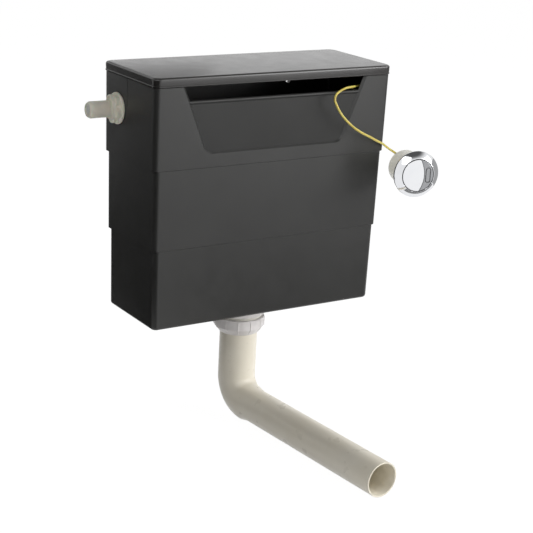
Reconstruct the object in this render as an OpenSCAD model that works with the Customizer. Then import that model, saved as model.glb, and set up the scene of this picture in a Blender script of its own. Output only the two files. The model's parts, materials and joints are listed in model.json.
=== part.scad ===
// Concealed toilet cistern with a cable-operated dual flush valve.
// Millimetres. +Z is up and the front faces -Y.
// The origin is midway between the two wall fixings, on the wall's face.

/* [Tank] */
// Width over the lid
tank_w = 346; // [310:1:400]
// Depth from the wall to the front of the lid
tank_d = 137; // [130:1:160]
// Height from the lid's top to the underside of the tank
tank_h = 316; // [300:1:360]
// Thickness of the tank's side walls
wall_t = 3; // [2.5:0.1:3.6]
// Thickness of the tank's floor
floor_t = 3.5; // [3:0.5:5]
// Depth of the first step below the lid's top
first_step = 113; // [106:1:125]
// Depth of the second step below the lid's top
second_step = 213.5; // [200:0.5:230]
// How far each step comes in at the sides
side_step = 2.5; // [1.5:0.1:3]
// How far each step comes in at the front
front_step = 0.7; // [0.4:0.1:1.2]
// How far each step comes in at the back
back_step = 2.7; // [1.5:0.1:3]
// Taper of the walls in millimetres for each 100 mm of height
taper = 1; // [0.4:0.1:1.2]
// Radius of the tank's upright corners
corner_r = 7.5; // [6.5:0.5:10]
// Radius of the edges round the tank's floor
foot_r = 4; // [1:0.5:5]
// How far the tank's wall stands back from the lid's edge
lid_overhang = 1.1; // [0.8:0.1:1.4]

/* [Lid] */
// Thickness of the lid's top
lid_t = 2.5; // [2:0.1:3.5]
// Height of the lid's skirt
skirt_h = 11.6; // [10:0.1:14]
// Thickness of the lid's skirt
skirt_t = 1.6; // [1.4:0.1:2]
// Radius of the lid's top edge
lid_edge_r = 3; // [1:0.5:5]

/* [Front recess and cable slot] */
// Width of the recess under the lid
recess_top_w = 268; // [250:1:275]
// Width of the recess at its foot
recess_foot_w = 201; // [180:1:215]
// Depth of the recess's foot below the lid's top
recess_drop = 97; // [90:0.5:100]
// How far the recess is set back
recess_depth = 3; // [2:0.5:4]
// Radius of the recess's lower corners
recess_r = 7; // [4:0.5:10]
// Depth of the cable slot's lip below the lid's top
slot_drop = 29.6; // [29:0.2:33]
// Radius of the slot's rolled lip
lip_r = 2.6; // [2:0.1:3]

/* [Wall fixings] */
// Distance between the two wall fixings
fixing_spacing = 200; // [160:2:220]
// Depth of the wall fixings below the lid's top
fixing_drop = 38; // [34:1:40]
// Diameter of the fixing holes
fixing_hole_d = 8; // [6:0.5:9]
// Diameter of the pads round the fixing holes
fixing_pad_d = 24; // [18:1:28]

/* [Water inlet] */
// Distance of the inlet from the wall's face
inlet_back = 39.3; // [36:0.1:48]
// Depth of the inlet below the lid's top
inlet_drop = 53; // [50:0.5:56]
// Outside diameter of the inlet tail, a half inch thread
tail_d = 20.95; // [18:0.05:22]
// Bore of the inlet tail
tail_bore_d = 12; // [9:0.5:13]
// Length of the tail outside the tank
tail_len = 41; // [35:1:60]
// Flange diameter of the nut on the tail
inlet_nut_d = 39.6; // [36:0.1:44]
// Length of the nut on the tail
inlet_nut_len = 13; // [10:0.5:16]
// Diameter of the fill valve's housing
fill_body_d = 30; // [28:0.5:32]
// Length of the float arm from its pivot to the level screw
arm_len = 46; // [40:1:50]
// How far the float arm drops when the tank is empty, in degrees
arm_drop = 18; // [8:1:20]
// Diameter of the float cup
float_d = 38; // [30:1:42]
// Height of the float cup
float_h = 44; // [36:1:50]
// Outside diameter of the silencer tube
silencer_d = 20; // [18:0.5:22]

/* [Flush valve] */
// Wall of the outlet spigot round the pipe's end, with its two inch thread
spigot_wall = 4.8; // [4.4:0.1:5.4]
// Length of the spigot below the tank
spigot_len = 28; // [26:0.5:34]
// Bore of the valve seat
seat_bore_d = 46; // [42:0.5:48]
// Outside diameter of the overflow tube
overflow_d = 32; // [28:0.5:34]
// Wall of the overflow tube
overflow_wall = 2.5; // [1.5:0.1:3]
// Depth of the overflow tube's mouth below the lid's top
overflow_drop = 72; // [68:0.5:78]
// Outside diameter of the valve tower
tower_d = 66; // [64:0.5:70]
// How far the valve lifts
valve_travel = 22; // [18:0.5:24]
// Diameter of both floats in the tower
valve_float_d = 50; // [44:0.5:52]

/* [Flush pipe] */
// Outside diameter of the pipe's upright leg
pipe_top_d = 50; // [48:0.1:53]
// Outside diameter of the pipe's level leg, for the pan's flush cone
pipe_end_d = 45; // [42:0.1:47]
// Wall of the flush pipe
pipe_wall = 2; // [1.6:0.1:2.4]
// Depth of the level leg's centre line below the tank
pipe_drop = 136; // [120:1:300]
// Length of the level leg from the outlet's axis
pipe_reach = 305; // [150:1:400]
// Radius of the bend's centre line
bend_r = 32; // [28:1:60]
// How far the bend is turned in its nut, in degrees
pipe_turn = 4; // [-90:1:90]
// Wall of the coupling nut round the spigot
coupling_wall = 3.7; // [3.4:0.1:7]
// Height of the coupling nut
coupling_h = 22; // [20:0.5:24]

/* [Push button] */
// Diameter of the bezel
bezel_d = 60.4; // [56:0.2:70]
// Height of the bezel's domed ring
bezel_h = 6.9; // [5.5:0.1:8]
// Diameter of the opening in the bezel
bezel_bore_d = 42.7; // [42:0.1:43]
// Diameter of the barrel, for a 45 mm panel hole
barrel_d = 44.4; // [44:0.1:47]
// Length of the barrel behind the bezel
barrel_len = 43; // [42:0.5:50]
// How far the full flush button travels
press_travel = 8; // [6:0.5:8]
// How far the half flush button travels
half_travel = 4; // [3:0.5:4]

/* [Flush cable] */
// Outside diameter of the cable's sheath
cable_d = 3; // [2.8:0.1:3.6]

/* [Hidden] */
$fn = 64;
eps = 0.01;
// Clearances
lid_gap = 0.3;
run_gap = 0.05;
loose_gap = 0.3;
// Heights in the tank
top_z = fixing_drop;
skirt_z = top_z - skirt_h;
rim_z = skirt_z - lid_gap;
floor_z = top_z - tank_h;
floor_top = floor_z + floor_t;
lip_z = top_z - slot_drop;
step_z = [rim_z, top_z - first_step, top_z - second_step, floor_z];
slope = taper / 100;
mid_y = -tank_d / 2;
// Set-backs of each tier from the lid's outline, as side, front and back
function tier_in(i, z) = [
    lid_overhang + side_step * i + slope * (rim_z - z),
    lid_overhang + front_step * i + slope * (rim_z - z),
    lid_overhang + back_step * i + slope * (rim_z - z)
];
front_y = -(tank_d - lid_overhang);
recess_y = front_y + recess_depth;
// How far the recess's cuts run on above the rim
cut_up = 20;

// A plain plate with round upright corners, from a lid-sized outline set in on each side
module plate(inset, h, r) {
    w = tank_w - 2 * inset[0];
    d = tank_d - inset[1] - inset[2];
    translate([-w / 2, -tank_d + inset[1], 0])
        linear_extrude(h) {
            translate([r, 0]) square([w - 2 * r, d]);
            translate([0, r]) square([w, d - 2 * r]);
            for (x = [r, w - r])
                for (y = [r, d - r])
                    translate([x, y]) circle(r, $fn = 32);
        }
}

// One tapered tier of the tank, or of its hollow when set in by t
module tier(i, t, z_top, z_low) {
    hull() {
        translate([0, 0, z_top - 0.5])
            plate(tier_in(i, z_top) + [t, t, t], 0.5, corner_r - t);
        translate([0, 0, z_low])
            plate(tier_in(i, z_low) + [t, t, t], 0.5, corner_r - t);
    }
}

// The lowest tier, with its floor edges rounded
module foot_tier(t, z_top, z_low) {
    in = tier_in(2, z_low) + [t, t, t];
    r = max(foot_r - t, 1);
    hull() {
        translate([0, 0, z_top - 0.5])
            plate(tier_in(2, z_top) + [t, t, t], 0.5, corner_r - t);
        for (a = [0:22.5:90])
            translate([0, 0, z_low + r * (1 - sin(a))])
                plate(in + [1, 1, 1] * r * (1 - cos(a)), eps, corner_r - t - r * (1 - cos(a)));
    }
}

// Outline of the front recess, set in by g and carried up past the rim
recess_foot_z = top_z - recess_drop;
recess_lean = (recess_top_w - recess_foot_w) / 2 / (rim_z - recess_foot_z);
module recess_outline(g, up) {
    r = recess_r;
    half_top = recess_top_w / 2 - g + recess_lean * up;
    half_foot = recess_foot_w / 2 - g;
    lean = atan(recess_lean);
    cz = recess_foot_z + g + r;
    cx = half_foot - r * (1 - sin(lean)) / cos(lean) + recess_lean * g;
    right = [for (a = [-90:15:-lean]) [cx + r * cos(a), cz + r * sin(a)]];
    left = [for (a = [-180 + lean:15:-90]) [-cx + r * cos(a), cz + r * sin(a)]];
    polygon(concat(
        [[-half_top, rim_z + up]], left, right,
        [[cx + r * cos(-lean), cz + r * sin(-lean)], [half_top, rim_z + up]]
    ));
}

module upright(y, t) {
    translate([0, y, 0]) rotate([90, 0, 0]) linear_extrude(t) children();
}

// Flat seats where the inlet's nut and washer clamp the side wall
inlet_y = -inlet_back;
inlet_z = top_z - inlet_drop;
seat_out_x = -(tank_w / 2 - lid_overhang - slope * (rim_z - inlet_z)) + 0.3;
seat_in_x = seat_out_x + wall_t + 0.4;
tail_r = tail_d / 2;
seat_r = inlet_nut_d / 2 + 1.2;
spigot_d = pipe_top_d + 2 * spigot_wall;
outlet_hole_r = spigot_d / 2 + 0.8;
pad_t = 6;

module along_x(x, y, z) {
    translate([x, y, z]) rotate([0, 90, 0]) children();
}
module along_y(x, y, z) {
    translate([x, y, z]) rotate([-90, 0, 0]) children();
}

module tank_shell() {
    difference() {
        union() {
            tier(0, 0, step_z[0], step_z[1]);
            tier(1, 0, step_z[1], step_z[2]);
            foot_tier(0, step_z[2], floor_z);
            // Rim that the lid sits on
            translate([0, 0, rim_z - 1])
                plate([1, 1, 1] * (skirt_t + lid_gap), top_z - lid_t - rim_z + 1, corner_r - skirt_t - lid_gap);
        }
        translate([0, 0, rim_z - 1])
            plate([1, 1, 1] * (lid_overhang + wall_t), skirt_h + 2, corner_r - wall_t);
        tier(0, wall_t, step_z[0], step_z[1] + wall_t);
        tier(1, wall_t, step_z[1] + wall_t + eps, step_z[2] + wall_t);
        foot_tier(wall_t, step_z[2] + wall_t + eps, floor_top);
        hull() {
            upright(front_y + eps, 2) recess_outline(0, cut_up);
            upright(recess_y + eps, 0.5) recess_outline(recess_depth, cut_up);
        }
    }
}

module tank() {
    slot_half = recess_top_w / 2 - recess_depth - recess_lean * (rim_z - lip_z);
    panel_top = lip_z - lip_r;
    color([0.13, 0.13, 0.13])
    difference() {
        union() {
            difference() {
                tank_shell();
                // The cable slot, open from its lip up to the lid
                intersection() {
                    upright(recess_y + wall_t, wall_t + 1) recess_outline(recess_depth, cut_up);
                    translate([-tank_w / 2, -tank_d, panel_top]) cube([tank_w, tank_d, top_z - panel_top]);
                }
            }
            // The panel behind the recess, up to the slot
            intersection() {
                upright(recess_y + wall_t, wall_t) recess_outline(-wall_t, 0);
                translate([-tank_w / 2, -tank_d, floor_z]) cube([tank_w, tank_d, panel_top - floor_z]);
            }
            // Rolled lip along the slot's lower edge
            along_x(-slot_half - 1, recess_y + wall_t / 2, panel_top)
                cylinder(r = lip_r, h = 2 * slot_half + 2, $fn = 32);
            for (x = [-1, 1])
                along_y(x * fixing_spacing / 2, -pad_t, 0) cylinder(d = fixing_pad_d, h = pad_t);
            along_x(seat_in_x - wall_t - 0.2, inlet_y, inlet_z) cylinder(r = seat_r, h = wall_t + 0.2);
        }
        for (x = [-1, 1])
            along_y(x * fixing_spacing / 2, -pad_t - 1, 0) cylinder(d = fixing_hole_d, h = pad_t + 2);
        along_x(seat_out_x - 2, inlet_y, inlet_z) cylinder(r = seat_r, h = 2);
        along_x(seat_out_x - 5, inlet_y, inlet_z) cylinder(r = tail_r + 0.5, h = wall_t + 10);
        translate([0, mid_y, floor_z - 1]) cylinder(r = outlet_hole_r, h = floor_t + 2);
    }
}

module lid() {
    color([0.16, 0.16, 0.16])
    difference() {
        union() {
            translate([0, 0, skirt_z]) plate([0, 0, 0], skirt_h - lid_edge_r, corner_r);
            hull() {
                translate([0, 0, top_z - lid_edge_r - eps]) plate([0, 0, 0], eps, corner_r);
                for (a = [30, 60])
                    translate([0, 0, top_z - lid_edge_r * (1 - sin(a)) - eps])
                        plate([1, 1, 1] * lid_edge_r * (1 - cos(a)), eps, corner_r - lid_edge_r * (1 - cos(a)));
                translate([0, 0, top_z - eps]) plate([1, 1, 1] * lid_edge_r, eps, corner_r - lid_edge_r);
            }
        }
        translate([0, 0, skirt_z - 1])
            plate([1, 1, 1] * skirt_t, skirt_h - lid_t + 1, corner_r - skirt_t);
    }
}

// Water inlet and fill valve. Every x here is measured inwards from the wall's inner seat.
washer_t = 2.5;
flange_x = seat_in_x + washer_t;
housing_x = flange_x + 4;
housing_len = 30;
fill_end_x = housing_x + housing_len;
fill_r = fill_body_d / 2;
spout_x = housing_x + 15;
tail_tip_x = seat_out_x - tail_len;
nose_len = 3;
groove_w = 1.5;
groove_in = 0.7;
groove_x = seat_out_x - inlet_nut_len - 0.5 - groove_w;
nut_flange_t = 3.5;
diaphragm_t = 2.5;
chamber_in = 2;
silencer_up = 25;
cap_t = 12;
cap_x = fill_end_x - 6;
cap_face_x = fill_end_x + cap_t;
ear_gap = 9;
ear_t = 3;
arm_pivot = [cap_face_x + 6, inlet_y, inlet_z - 9];
pilot_gap = 0.2;
arm_pin_r = 1.5;

module inlet_backnut() {
    lobe_r = 7;
    lobe_reach = inlet_nut_d / 2 - 1.5;
    color([0.78, 0.77, 0.72])
    difference() {
        union() {
            along_x(seat_out_x - nut_flange_t, inlet_y, inlet_z) cylinder(d = inlet_nut_d, h = nut_flange_t);
            along_x(seat_out_x - inlet_nut_len, inlet_y, inlet_z)
                cylinder(r1 = tail_r + 1.5, r2 = tail_r + 4.5, h = inlet_nut_len);
            // Five finger lobes
            for (a = [0:72:288])
                along_x(seat_out_x - inlet_nut_len + 3, inlet_y, inlet_z)
                    rotate([0, 0, a])
                        translate([lobe_reach - lobe_r, 0, 0]) cylinder(r = lobe_r, h = inlet_nut_len - 4, $fn = 48);
        }
        along_x(seat_out_x - inlet_nut_len - 1, inlet_y, inlet_z)
            cylinder(r = tail_r + run_gap, h = inlet_nut_len + 2);
    }
}

module inlet_washer() {
    color([0.1, 0.1, 0.1])
    along_x(seat_in_x, inlet_y, inlet_z)
        difference() {
            cylinder(r = tail_r + 6.5, h = washer_t);
            translate([0, 0, -1]) cylinder(r = tail_r + 0.3, h = washer_t + 2);
        }
}

module fill_valve_body() {
    ring_in = 5.5;
    ring_out = fill_r - chamber_in - 1.5;
    spout_len = fill_r + 14;
    color([0.86, 0.85, 0.8])
    difference() {
        union() {
            along_x(tail_tip_x + nose_len, inlet_y, inlet_z)
                cylinder(r = tail_r, h = housing_x - tail_tip_x - nose_len);
            along_x(tail_tip_x, inlet_y, inlet_z)
                cylinder(r1 = tail_r - 1.7, r2 = tail_r, h = nose_len);
            along_x(flange_x, inlet_y, inlet_z) cylinder(r = tail_r + 6.5, h = 4);
            along_x(housing_x - 1, inlet_y, inlet_z) cylinder(r = fill_r, h = housing_len + 1);
            translate([spout_x, inlet_y, inlet_z - spout_len]) cylinder(d = silencer_d - 4, h = spout_len);
        }
        along_x(tail_tip_x - 1, inlet_y, inlet_z) cylinder(d = tail_bore_d, h = housing_x - tail_tip_x + 3);
        // Run-out groove where the thread starts outside the nut
        along_x(groove_x, inlet_y, inlet_z)
            difference() {
                cylinder(r = tail_r + 1, h = groove_w);
                translate([0, 0, -1]) cylinder(r = tail_r - groove_in, h = groove_w + 2);
            }
        along_x(housing_x, inlet_y, inlet_z) cylinder(r = 3, h = housing_len + 2);
        // Ring of space round the nozzle, which leads to the spout
        along_x(housing_x + 6, inlet_y, inlet_z)
            difference() {
                cylinder(r = ring_out, h = housing_len - 6 + eps);
                translate([0, 0, -1]) cylinder(r = ring_in, h = housing_len + 2);
            }
        along_x(fill_end_x - diaphragm_t, inlet_y, inlet_z) cylinder(r = fill_r - chamber_in, h = diaphragm_t + 1);
        translate([spout_x, inlet_y, inlet_z - spout_len - 1])
            cylinder(r = silencer_d / 2 - 4.5, h = spout_len + 1 - ring_in - 2);
    }
}

module inlet_filter() {
    r = tail_bore_d / 2 - run_gap;
    color([0.9, 0.9, 0.88])
    along_x(tail_tip_x + 0.6, inlet_y, inlet_z)
        difference() {
            cylinder(r = r, h = 16);
            translate([0, 0, 2]) cylinder(r = r - 1.2, h = 16);
            for (a = [0:60:300])
                rotate([0, 0, a]) translate([r * 0.55, 0, -1]) cylinder(r = 0.8, h = 4, $fn = 16);
        }
}

module fill_diaphragm() {
    color([0.12, 0.12, 0.12])
    along_x(fill_end_x - diaphragm_t, inlet_y, inlet_z)
        difference() {
            cylinder(r = fill_r - chamber_in - run_gap, h = diaphragm_t);
            translate([0, 0, -1]) cylinder(r = 0.8, h = diaphragm_t + 2, $fn = 24);
        }
}

module fill_valve_cap() {
    cap_r = fill_r + 3;
    color([0.2, 0.35, 0.55])
    difference() {
        union() {
            along_x(cap_x, inlet_y, inlet_z) cylinder(r = cap_r, h = cap_face_x - cap_x);
            // Two ears that carry the float arm's pin
            for (s = [-1, 1])
                translate([cap_face_x - 8, inlet_y + s * (ear_gap + ear_t / 2) - ear_t / 2, arm_pivot[2] - 5])
                    cube([8 + arm_pivot[0] - cap_face_x + 4, ear_t, 10]);
        }
        along_x(cap_x - 1, inlet_y, inlet_z) cylinder(r = fill_r + run_gap, h = fill_end_x - cap_x + 1);
        // Pilot hole, which the float arm's pad shuts when the tank is full
        along_x(cap_x - 1, inlet_y, inlet_z) cylinder(r = 1.2, h = cap_t + 10, $fn = 24);
        along_y(arm_pivot[0], inlet_y - ear_gap - ear_t - 1, arm_pivot[2])
            cylinder(r = arm_pin_r + run_gap, h = 2 * (ear_gap + ear_t) + 2, $fn = 32);
    }
}

module arm_pin() {
    color([0.7, 0.7, 0.7])
    along_y(arm_pivot[0], inlet_y - ear_gap - ear_t, arm_pivot[2])
        cylinder(r = arm_pin_r, h = 2 * (ear_gap + ear_t), $fn = 32);
}

// The arm's pieces are drawn level about the pivot and then dropped
module dropped_arm() {
    translate(arm_pivot) rotate([0, arm_drop, 0]) children();
}
arm_w = 2 * (ear_gap - 0.4);
screw_r = 2.5;
float_top = -9;
screw_len = 26;

module float_arm() {
    color([0.85, 0.85, 0.82])
    dropped_arm()
        difference() {
            union() {
                along_y(0, -arm_w / 2, 0) cylinder(r = 4, h = arm_w);
                translate([0, -arm_w / 2, -3]) cube([12, arm_w, 6]);
                // Leg and pad that reach up to the pilot hole
                translate([cap_face_x + pilot_gap - arm_pivot[0], -4, 0])
                    cube([arm_pivot[0] - cap_face_x - pilot_gap + 2, 8, inlet_z - arm_pivot[2] + 3]);
                translate([10, -4, -3]) cube([arm_len - 10, 8, 6]);
                translate([arm_len, 0, -3]) cylinder(r = 6, h = 6);
            }
            along_y(0, -arm_w / 2 - 1, 0) cylinder(r = arm_pin_r + run_gap, h = arm_w + 2, $fn = 32);
            translate([arm_len, 0, -4]) cylinder(r = screw_r + run_gap, h = 8, $fn = 32);
        }
}

module level_screw() {
    color([0.2, 0.35, 0.55])
    dropped_arm()
        translate([arm_len, 0, 0]) {
            translate([0, 0, float_top]) cylinder(r = screw_r, h = screw_len - 10, $fn = 32);
            translate([0, 0, float_top + screw_len - 10]) cylinder(r = 4.5, h = 4, $fn = 6);
            translate([0, 0, float_top]) cylinder(r = 4, h = 3, $fn = 32);
        }
}

module float_cup() {
    color([0.92, 0.92, 0.9])
    dropped_arm()
        translate([arm_len, 0, float_top - float_h])
            difference() {
                cylinder(d = float_d, h = float_h);
                translate([0, 0, -1]) cylinder(d = float_d - 3, h = float_h - 0.6);
            }
}

module silencer_tube() {
    top = inlet_z - fill_r - 3.5;
    foot = floor_top + silencer_up;
    color([0.8, 0.8, 0.78])
    translate([spout_x, inlet_y, foot])
        difference() {
            cylinder(d = silencer_d, h = top - foot);
            translate([0, 0, -1]) cylinder(d = silencer_d - 4 + 2 * run_gap, h = top - foot + 2);
        }
}

// Flush valve, drawn about the outlet's axis
module at_outlet() {
    translate([0, mid_y, 0]) children();
}
spigot_r = spigot_d / 2;
spigot_end = floor_z - spigot_len;
base_z = floor_top + washer_t;
base_t = 4;
seat_z = base_z + base_t + 8;
seal_t = 3;
tower_r = tower_d / 2;
tower_wall = 4;
overflow_r = overflow_d / 2;
overflow_z = top_z - overflow_drop;
head_h = 36;
tower_top = overflow_z - head_h;
deck_t = 4;
socket_up = 40;
socket_z = seat_z + socket_up;
socket_h = 12;
base_lip = 10;
pipe_r = pipe_top_d / 2;

module valve_base() {
    post_r = tower_r + loose_gap + 2;
    color([0.9, 0.89, 0.85])
    at_outlet() {
        difference() {
            union() {
                translate([0, 0, base_z]) cylinder(r = outlet_hole_r + base_lip, h = base_t);
                translate([0, 0, spigot_end]) cylinder(r = spigot_r, h = base_z - spigot_end + 1);
                translate([0, 0, base_z]) cylinder(r = seat_bore_d / 2 + 4, h = seat_z - base_z);
            }
            translate([0, 0, spigot_end - 1]) cylinder(d = seat_bore_d, h = seat_z - spigot_end + 2);
            translate([0, 0, spigot_end - 1]) cylinder(r = pipe_r + 0.5, h = 12);
        }
        for (a = [45:90:315])
            rotate([0, 0, a])
                translate([post_r - 2, -4, base_z + base_t - 1]) cube([4, 8, socket_z - base_z - base_t + 2]);
        translate([0, 0, socket_z])
            difference() {
                cylinder(r = post_r + 2, h = socket_h);
                translate([0, 0, -1]) cylinder(r = tower_r + loose_gap, h = socket_h + 2);
            }
    }
}

module base_washer() {
    color([0.1, 0.1, 0.1])
    at_outlet() translate([0, 0, floor_top])
        difference() {
            cylinder(r = outlet_hole_r + base_lip - 1, h = washer_t);
            translate([0, 0, -1]) cylinder(r = spigot_r + 0.3, h = washer_t + 2);
        }
}

backnut_h = 16;
module tank_backnut() {
    color([0.82, 0.79, 0.82])
    at_outlet() translate([0, 0, floor_z - backnut_h])
        difference() {
            union() {
                cylinder(r = spigot_r + 3.4, h = backnut_h);
                translate([0, 0, backnut_h - 4]) cylinder(r = spigot_r + 5.5, h = 4);
            }
            translate([0, 0, -1]) cylinder(r = spigot_r + run_gap, h = backnut_h + 2);
        }
}

module valve_tower() {
    color([0.93, 0.92, 0.88])
    at_outlet() {
        translate([0, 0, socket_z + 2])
            difference() {
                cylinder(r = tower_r, h = socket_h);
                translate([0, 0, -1]) cylinder(r = tower_r - tower_wall, h = socket_h + 2);
            }
        // Flange that rests on the base's socket
        translate([0, 0, socket_z + socket_h])
            difference() {
                cylinder(r = tower_r + 4, h = 2);
                translate([0, 0, -1]) cylinder(r = tower_r - 1, h = 4);
            }
        for (a = [0:90:270])
            rotate([0, 0, a])
                translate([tower_r - tower_wall, -5, socket_z + 4])
                    cube([tower_wall - 0.5, 10, tower_top - deck_t / 2 - socket_z - 4]);
        translate([0, 0, tower_top - deck_t])
            difference() {
                cylinder(r = tower_r, h = deck_t);
                translate([0, 0, -1]) cylinder(r = overflow_r + loose_gap, h = deck_t + 2);
            }
    }
}

// Lugs on the overflow tube that the lift lever carries
lug_t = 3;
lug_z = overflow_z - 19;
lug_reach = overflow_r + 5.5;
module overflow_tube() {
    low = seat_z + seal_t;
    flange_r = seat_bore_d / 2 + 4;
    color([0.75, 0.2, 0.18])
    at_outlet()
        difference() {
            union() {
                translate([0, 0, seat_z - 4]) cylinder(r = overflow_r - 1, h = seal_t + 5);
                translate([0, 0, low]) cylinder(r = overflow_r, h = overflow_z - low);
                translate([0, 0, low]) cylinder(r = flange_r, h = 3);
                translate([-3, -lug_reach, lug_z]) cube([6, 2 * lug_reach, lug_t]);
                translate([0, 0, full_float_z - collar_t]) cylinder(r = overflow_r + 4, h = collar_t);
                // Collar under the return spring
                translate([0, 0, spring_low - collar_t]) cylinder(r = overflow_r + 3.5, h = collar_t);
            }
            translate([0, 0, seat_z - 5]) cylinder(r = overflow_r - overflow_wall, h = overflow_z - seat_z + 10);
        }
}

module valve_seal() {
    color([0.1, 0.1, 0.1])
    at_outlet() translate([0, 0, seat_z])
        difference() {
            cylinder(r = seat_bore_d / 2 + 5.5, h = seal_t);
            translate([0, 0, -1]) cylinder(r = overflow_r - 1 + eps, h = seal_t + 2);
        }
}

// Helical spring that shuts the valve, round the overflow tube under the tower's deck
spring_r = overflow_r + 2;
spring_wire = 0.7;
curls = 6;
spring_high = tower_top - deck_t;
spring_low = spring_high - valve_travel - 2 * spring_wire * (curls + 1) - 1;
spring_pitch = (spring_high - spring_low - 2 * spring_wire) / curls;
echo(least_gap_between_curls = spring_pitch - 2 * spring_wire);
collar_t = 3;

float_wall = 1.6;
float_gap = 7.2;
half_slide = 8;
half_float_h = 28;
half_float_z = spring_low - collar_t - 1 - half_slide - half_float_h;
full_float_z = socket_z + 8;
// The full float fills the height that the half float leaves
full_float_h = half_float_z - half_slide - float_gap - full_float_z;

module ring_float(z, h) {
    at_outlet() translate([0, 0, z])
        difference() {
            cylinder(d = valve_float_d, h = h);
            translate([0, 0, -1]) cylinder(r = overflow_r + run_gap, h = h + 2);
            // Air space, open below
            translate([0, 0, -1])
                difference() {
                    cylinder(d = valve_float_d - 2 * float_wall, h = h - 1);
                    translate([0, 0, -1]) cylinder(r = overflow_r + float_wall + 0.4, h = h + 2);
                }
        }
}

module full_float() {
    color([0.95, 0.95, 0.93]) ring_float(full_float_z, full_float_h);
}

module half_float() {
    color([0.3, 0.5, 0.7]) ring_float(half_float_z, half_float_h);
}

// Cable head: a bell crank turns the cable's pull into the valve's lift
lever_len = 35;
lever_x = 34;
lever_swing = 2 * asin(valve_travel / 2 / lever_len);
pad_r = 3;
lever_z = lug_z - loose_gap - pad_r + valve_travel / 2;
lever_pin_r = 2;
nipple_r = 2.4;
nipple_len = 7;
tine_in = overflow_r + 1;
tine_t = 3.5;
hub_r = 5;
rocker_arm = 12;
rocker_swing = 2 * asin(press_travel / 2 / rocker_arm);
wire_arm = 13.5;
wire_pull = 2 * wire_arm * tan(rocker_swing / 2);
crank_h = wire_pull / 2 / tan(lever_swing / 2);
wire_z = lever_z + crank_h;
wire_r = 0.7;
fork_gap = 1.2;
fork_t = 2.5;
fork_half = 2;
head_plate_x = 44;
head_plate_t = 4;
ferrule_r = 4;
ferrule_len = 14;
sleeve_r = cable_d / 2 + 1;
ferrule_end = head_plate_x + head_plate_t + ferrule_len;
head_base = tower_top;
cheek_in = tine_in + tine_t + 1.5;
cheek_t = 3;

module cable_head() {
    color([0.2, 0.35, 0.55])
    at_outlet()
        difference() {
            union() {
                translate([0, 0, head_base]) cylinder(r = tower_r, h = 4);
                for (s = [-1, 1])
                    translate([lever_x - 8, s * (cheek_in + cheek_t / 2) - cheek_t / 2, head_base])
                        cube([head_plate_x - lever_x + 8, cheek_t, lever_z + 7 - head_base]);
                translate([head_plate_x - 20, -cheek_in - cheek_t, head_base])
                    cube([20 + head_plate_t, 2 * (cheek_in + cheek_t), 4]);
                translate([head_plate_x, -cheek_in - cheek_t, head_base])
                    cube([head_plate_t, 2 * (cheek_in + cheek_t), lever_z + 7 - head_base]);
                translate([head_plate_x, -9, head_base])
                    cube([head_plate_t, 18, wire_z + 8 - head_base]);
            }
            translate([0, 0, head_base - 1]) cylinder(r = overflow_r + 2, h = 6);
            along_y(lever_x, -cheek_in - cheek_t - 1, lever_z)
                cylinder(r = lever_pin_r + run_gap, h = 2 * (cheek_in + cheek_t) + 2, $fn = 32);
            along_x(head_plate_x - 1, 0, wire_z) cylinder(r = ferrule_r + run_gap, h = head_plate_t + 2, $fn = 32);
        }
}

module lift_lever() {
    color([0.93, 0.92, 0.88])
    at_outlet() translate([lever_x, 0, lever_z]) rotate([0, -lever_swing / 2, 0])
        difference() {
            union() {
                along_y(0, -tine_in - tine_t, 0) cylinder(r = hub_r, h = 2 * (tine_in + tine_t));
                for (s = [-1, 1]) {
                    translate([-lever_len, s * (tine_in + tine_t / 2) - tine_t / 2, -2])
                        cube([lever_len, tine_t, 4]);
                    along_y(-lever_len, s * (tine_in + tine_t / 2) - tine_t / 2, 0)
                        cylinder(r = pad_r, h = tine_t, $fn = 32);
                    // Fork for the inner wire
                    translate([-fork_half, s * (fork_gap + fork_t / 2) - fork_t / 2, 0])
                        cube([2 * fork_half, fork_t, crank_h + 4]);
                }
            }
            along_y(0, -tine_in - tine_t - 1, 0)
                cylinder(r = lever_pin_r + run_gap, h = 2 * (tine_in + tine_t) + 2, $fn = 32);
        }
}

module lever_pin() {
    color([0.7, 0.7, 0.7])
    at_outlet() along_y(lever_x, -cheek_in - cheek_t, lever_z)
        cylinder(r = lever_pin_r, h = 2 * (cheek_in + cheek_t), $fn = 32);
}

// Distance from the wire's resting crank point to its nipple, for a crank arm leaning by half its swing
function nipple_off(swing) = (fork_half + nipple_r + loose_gap) / cos(swing / 2);

module head_wire() {
    nipple_x = lever_x - wire_pull / 2 - nipple_off(lever_swing);
    color([0.75, 0.75, 0.76])
    at_outlet() {
        along_x(nipple_x, 0, wire_z) cylinder(r = wire_r, h = head_plate_x + 6 - nipple_x, $fn = 24);
        along_y(nipple_x, -nipple_len / 2, wire_z) cylinder(r = nipple_r, h = nipple_len, $fn = 32);
    }
}

module ferrule() {
    difference() {
        union() {
            cylinder(r = ferrule_r, h = head_plate_t + 2, $fn = 32);
            translate([0, 0, head_plate_t]) cylinder(r = ferrule_r + 2, h = 2, $fn = 32);
            translate([0, 0, head_plate_t + 1]) cylinder(r = sleeve_r, h = ferrule_len - 1, $fn = 32);
        }
        translate([0, 0, -1]) cylinder(r = wire_r + loose_gap, h = head_plate_t + ferrule_len + 2, $fn = 24);
    }
}

module head_ferrule() {
    color([0.85, 0.85, 0.82]) at_outlet() along_x(head_plate_x, 0, wire_z) ferrule();
}

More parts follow.
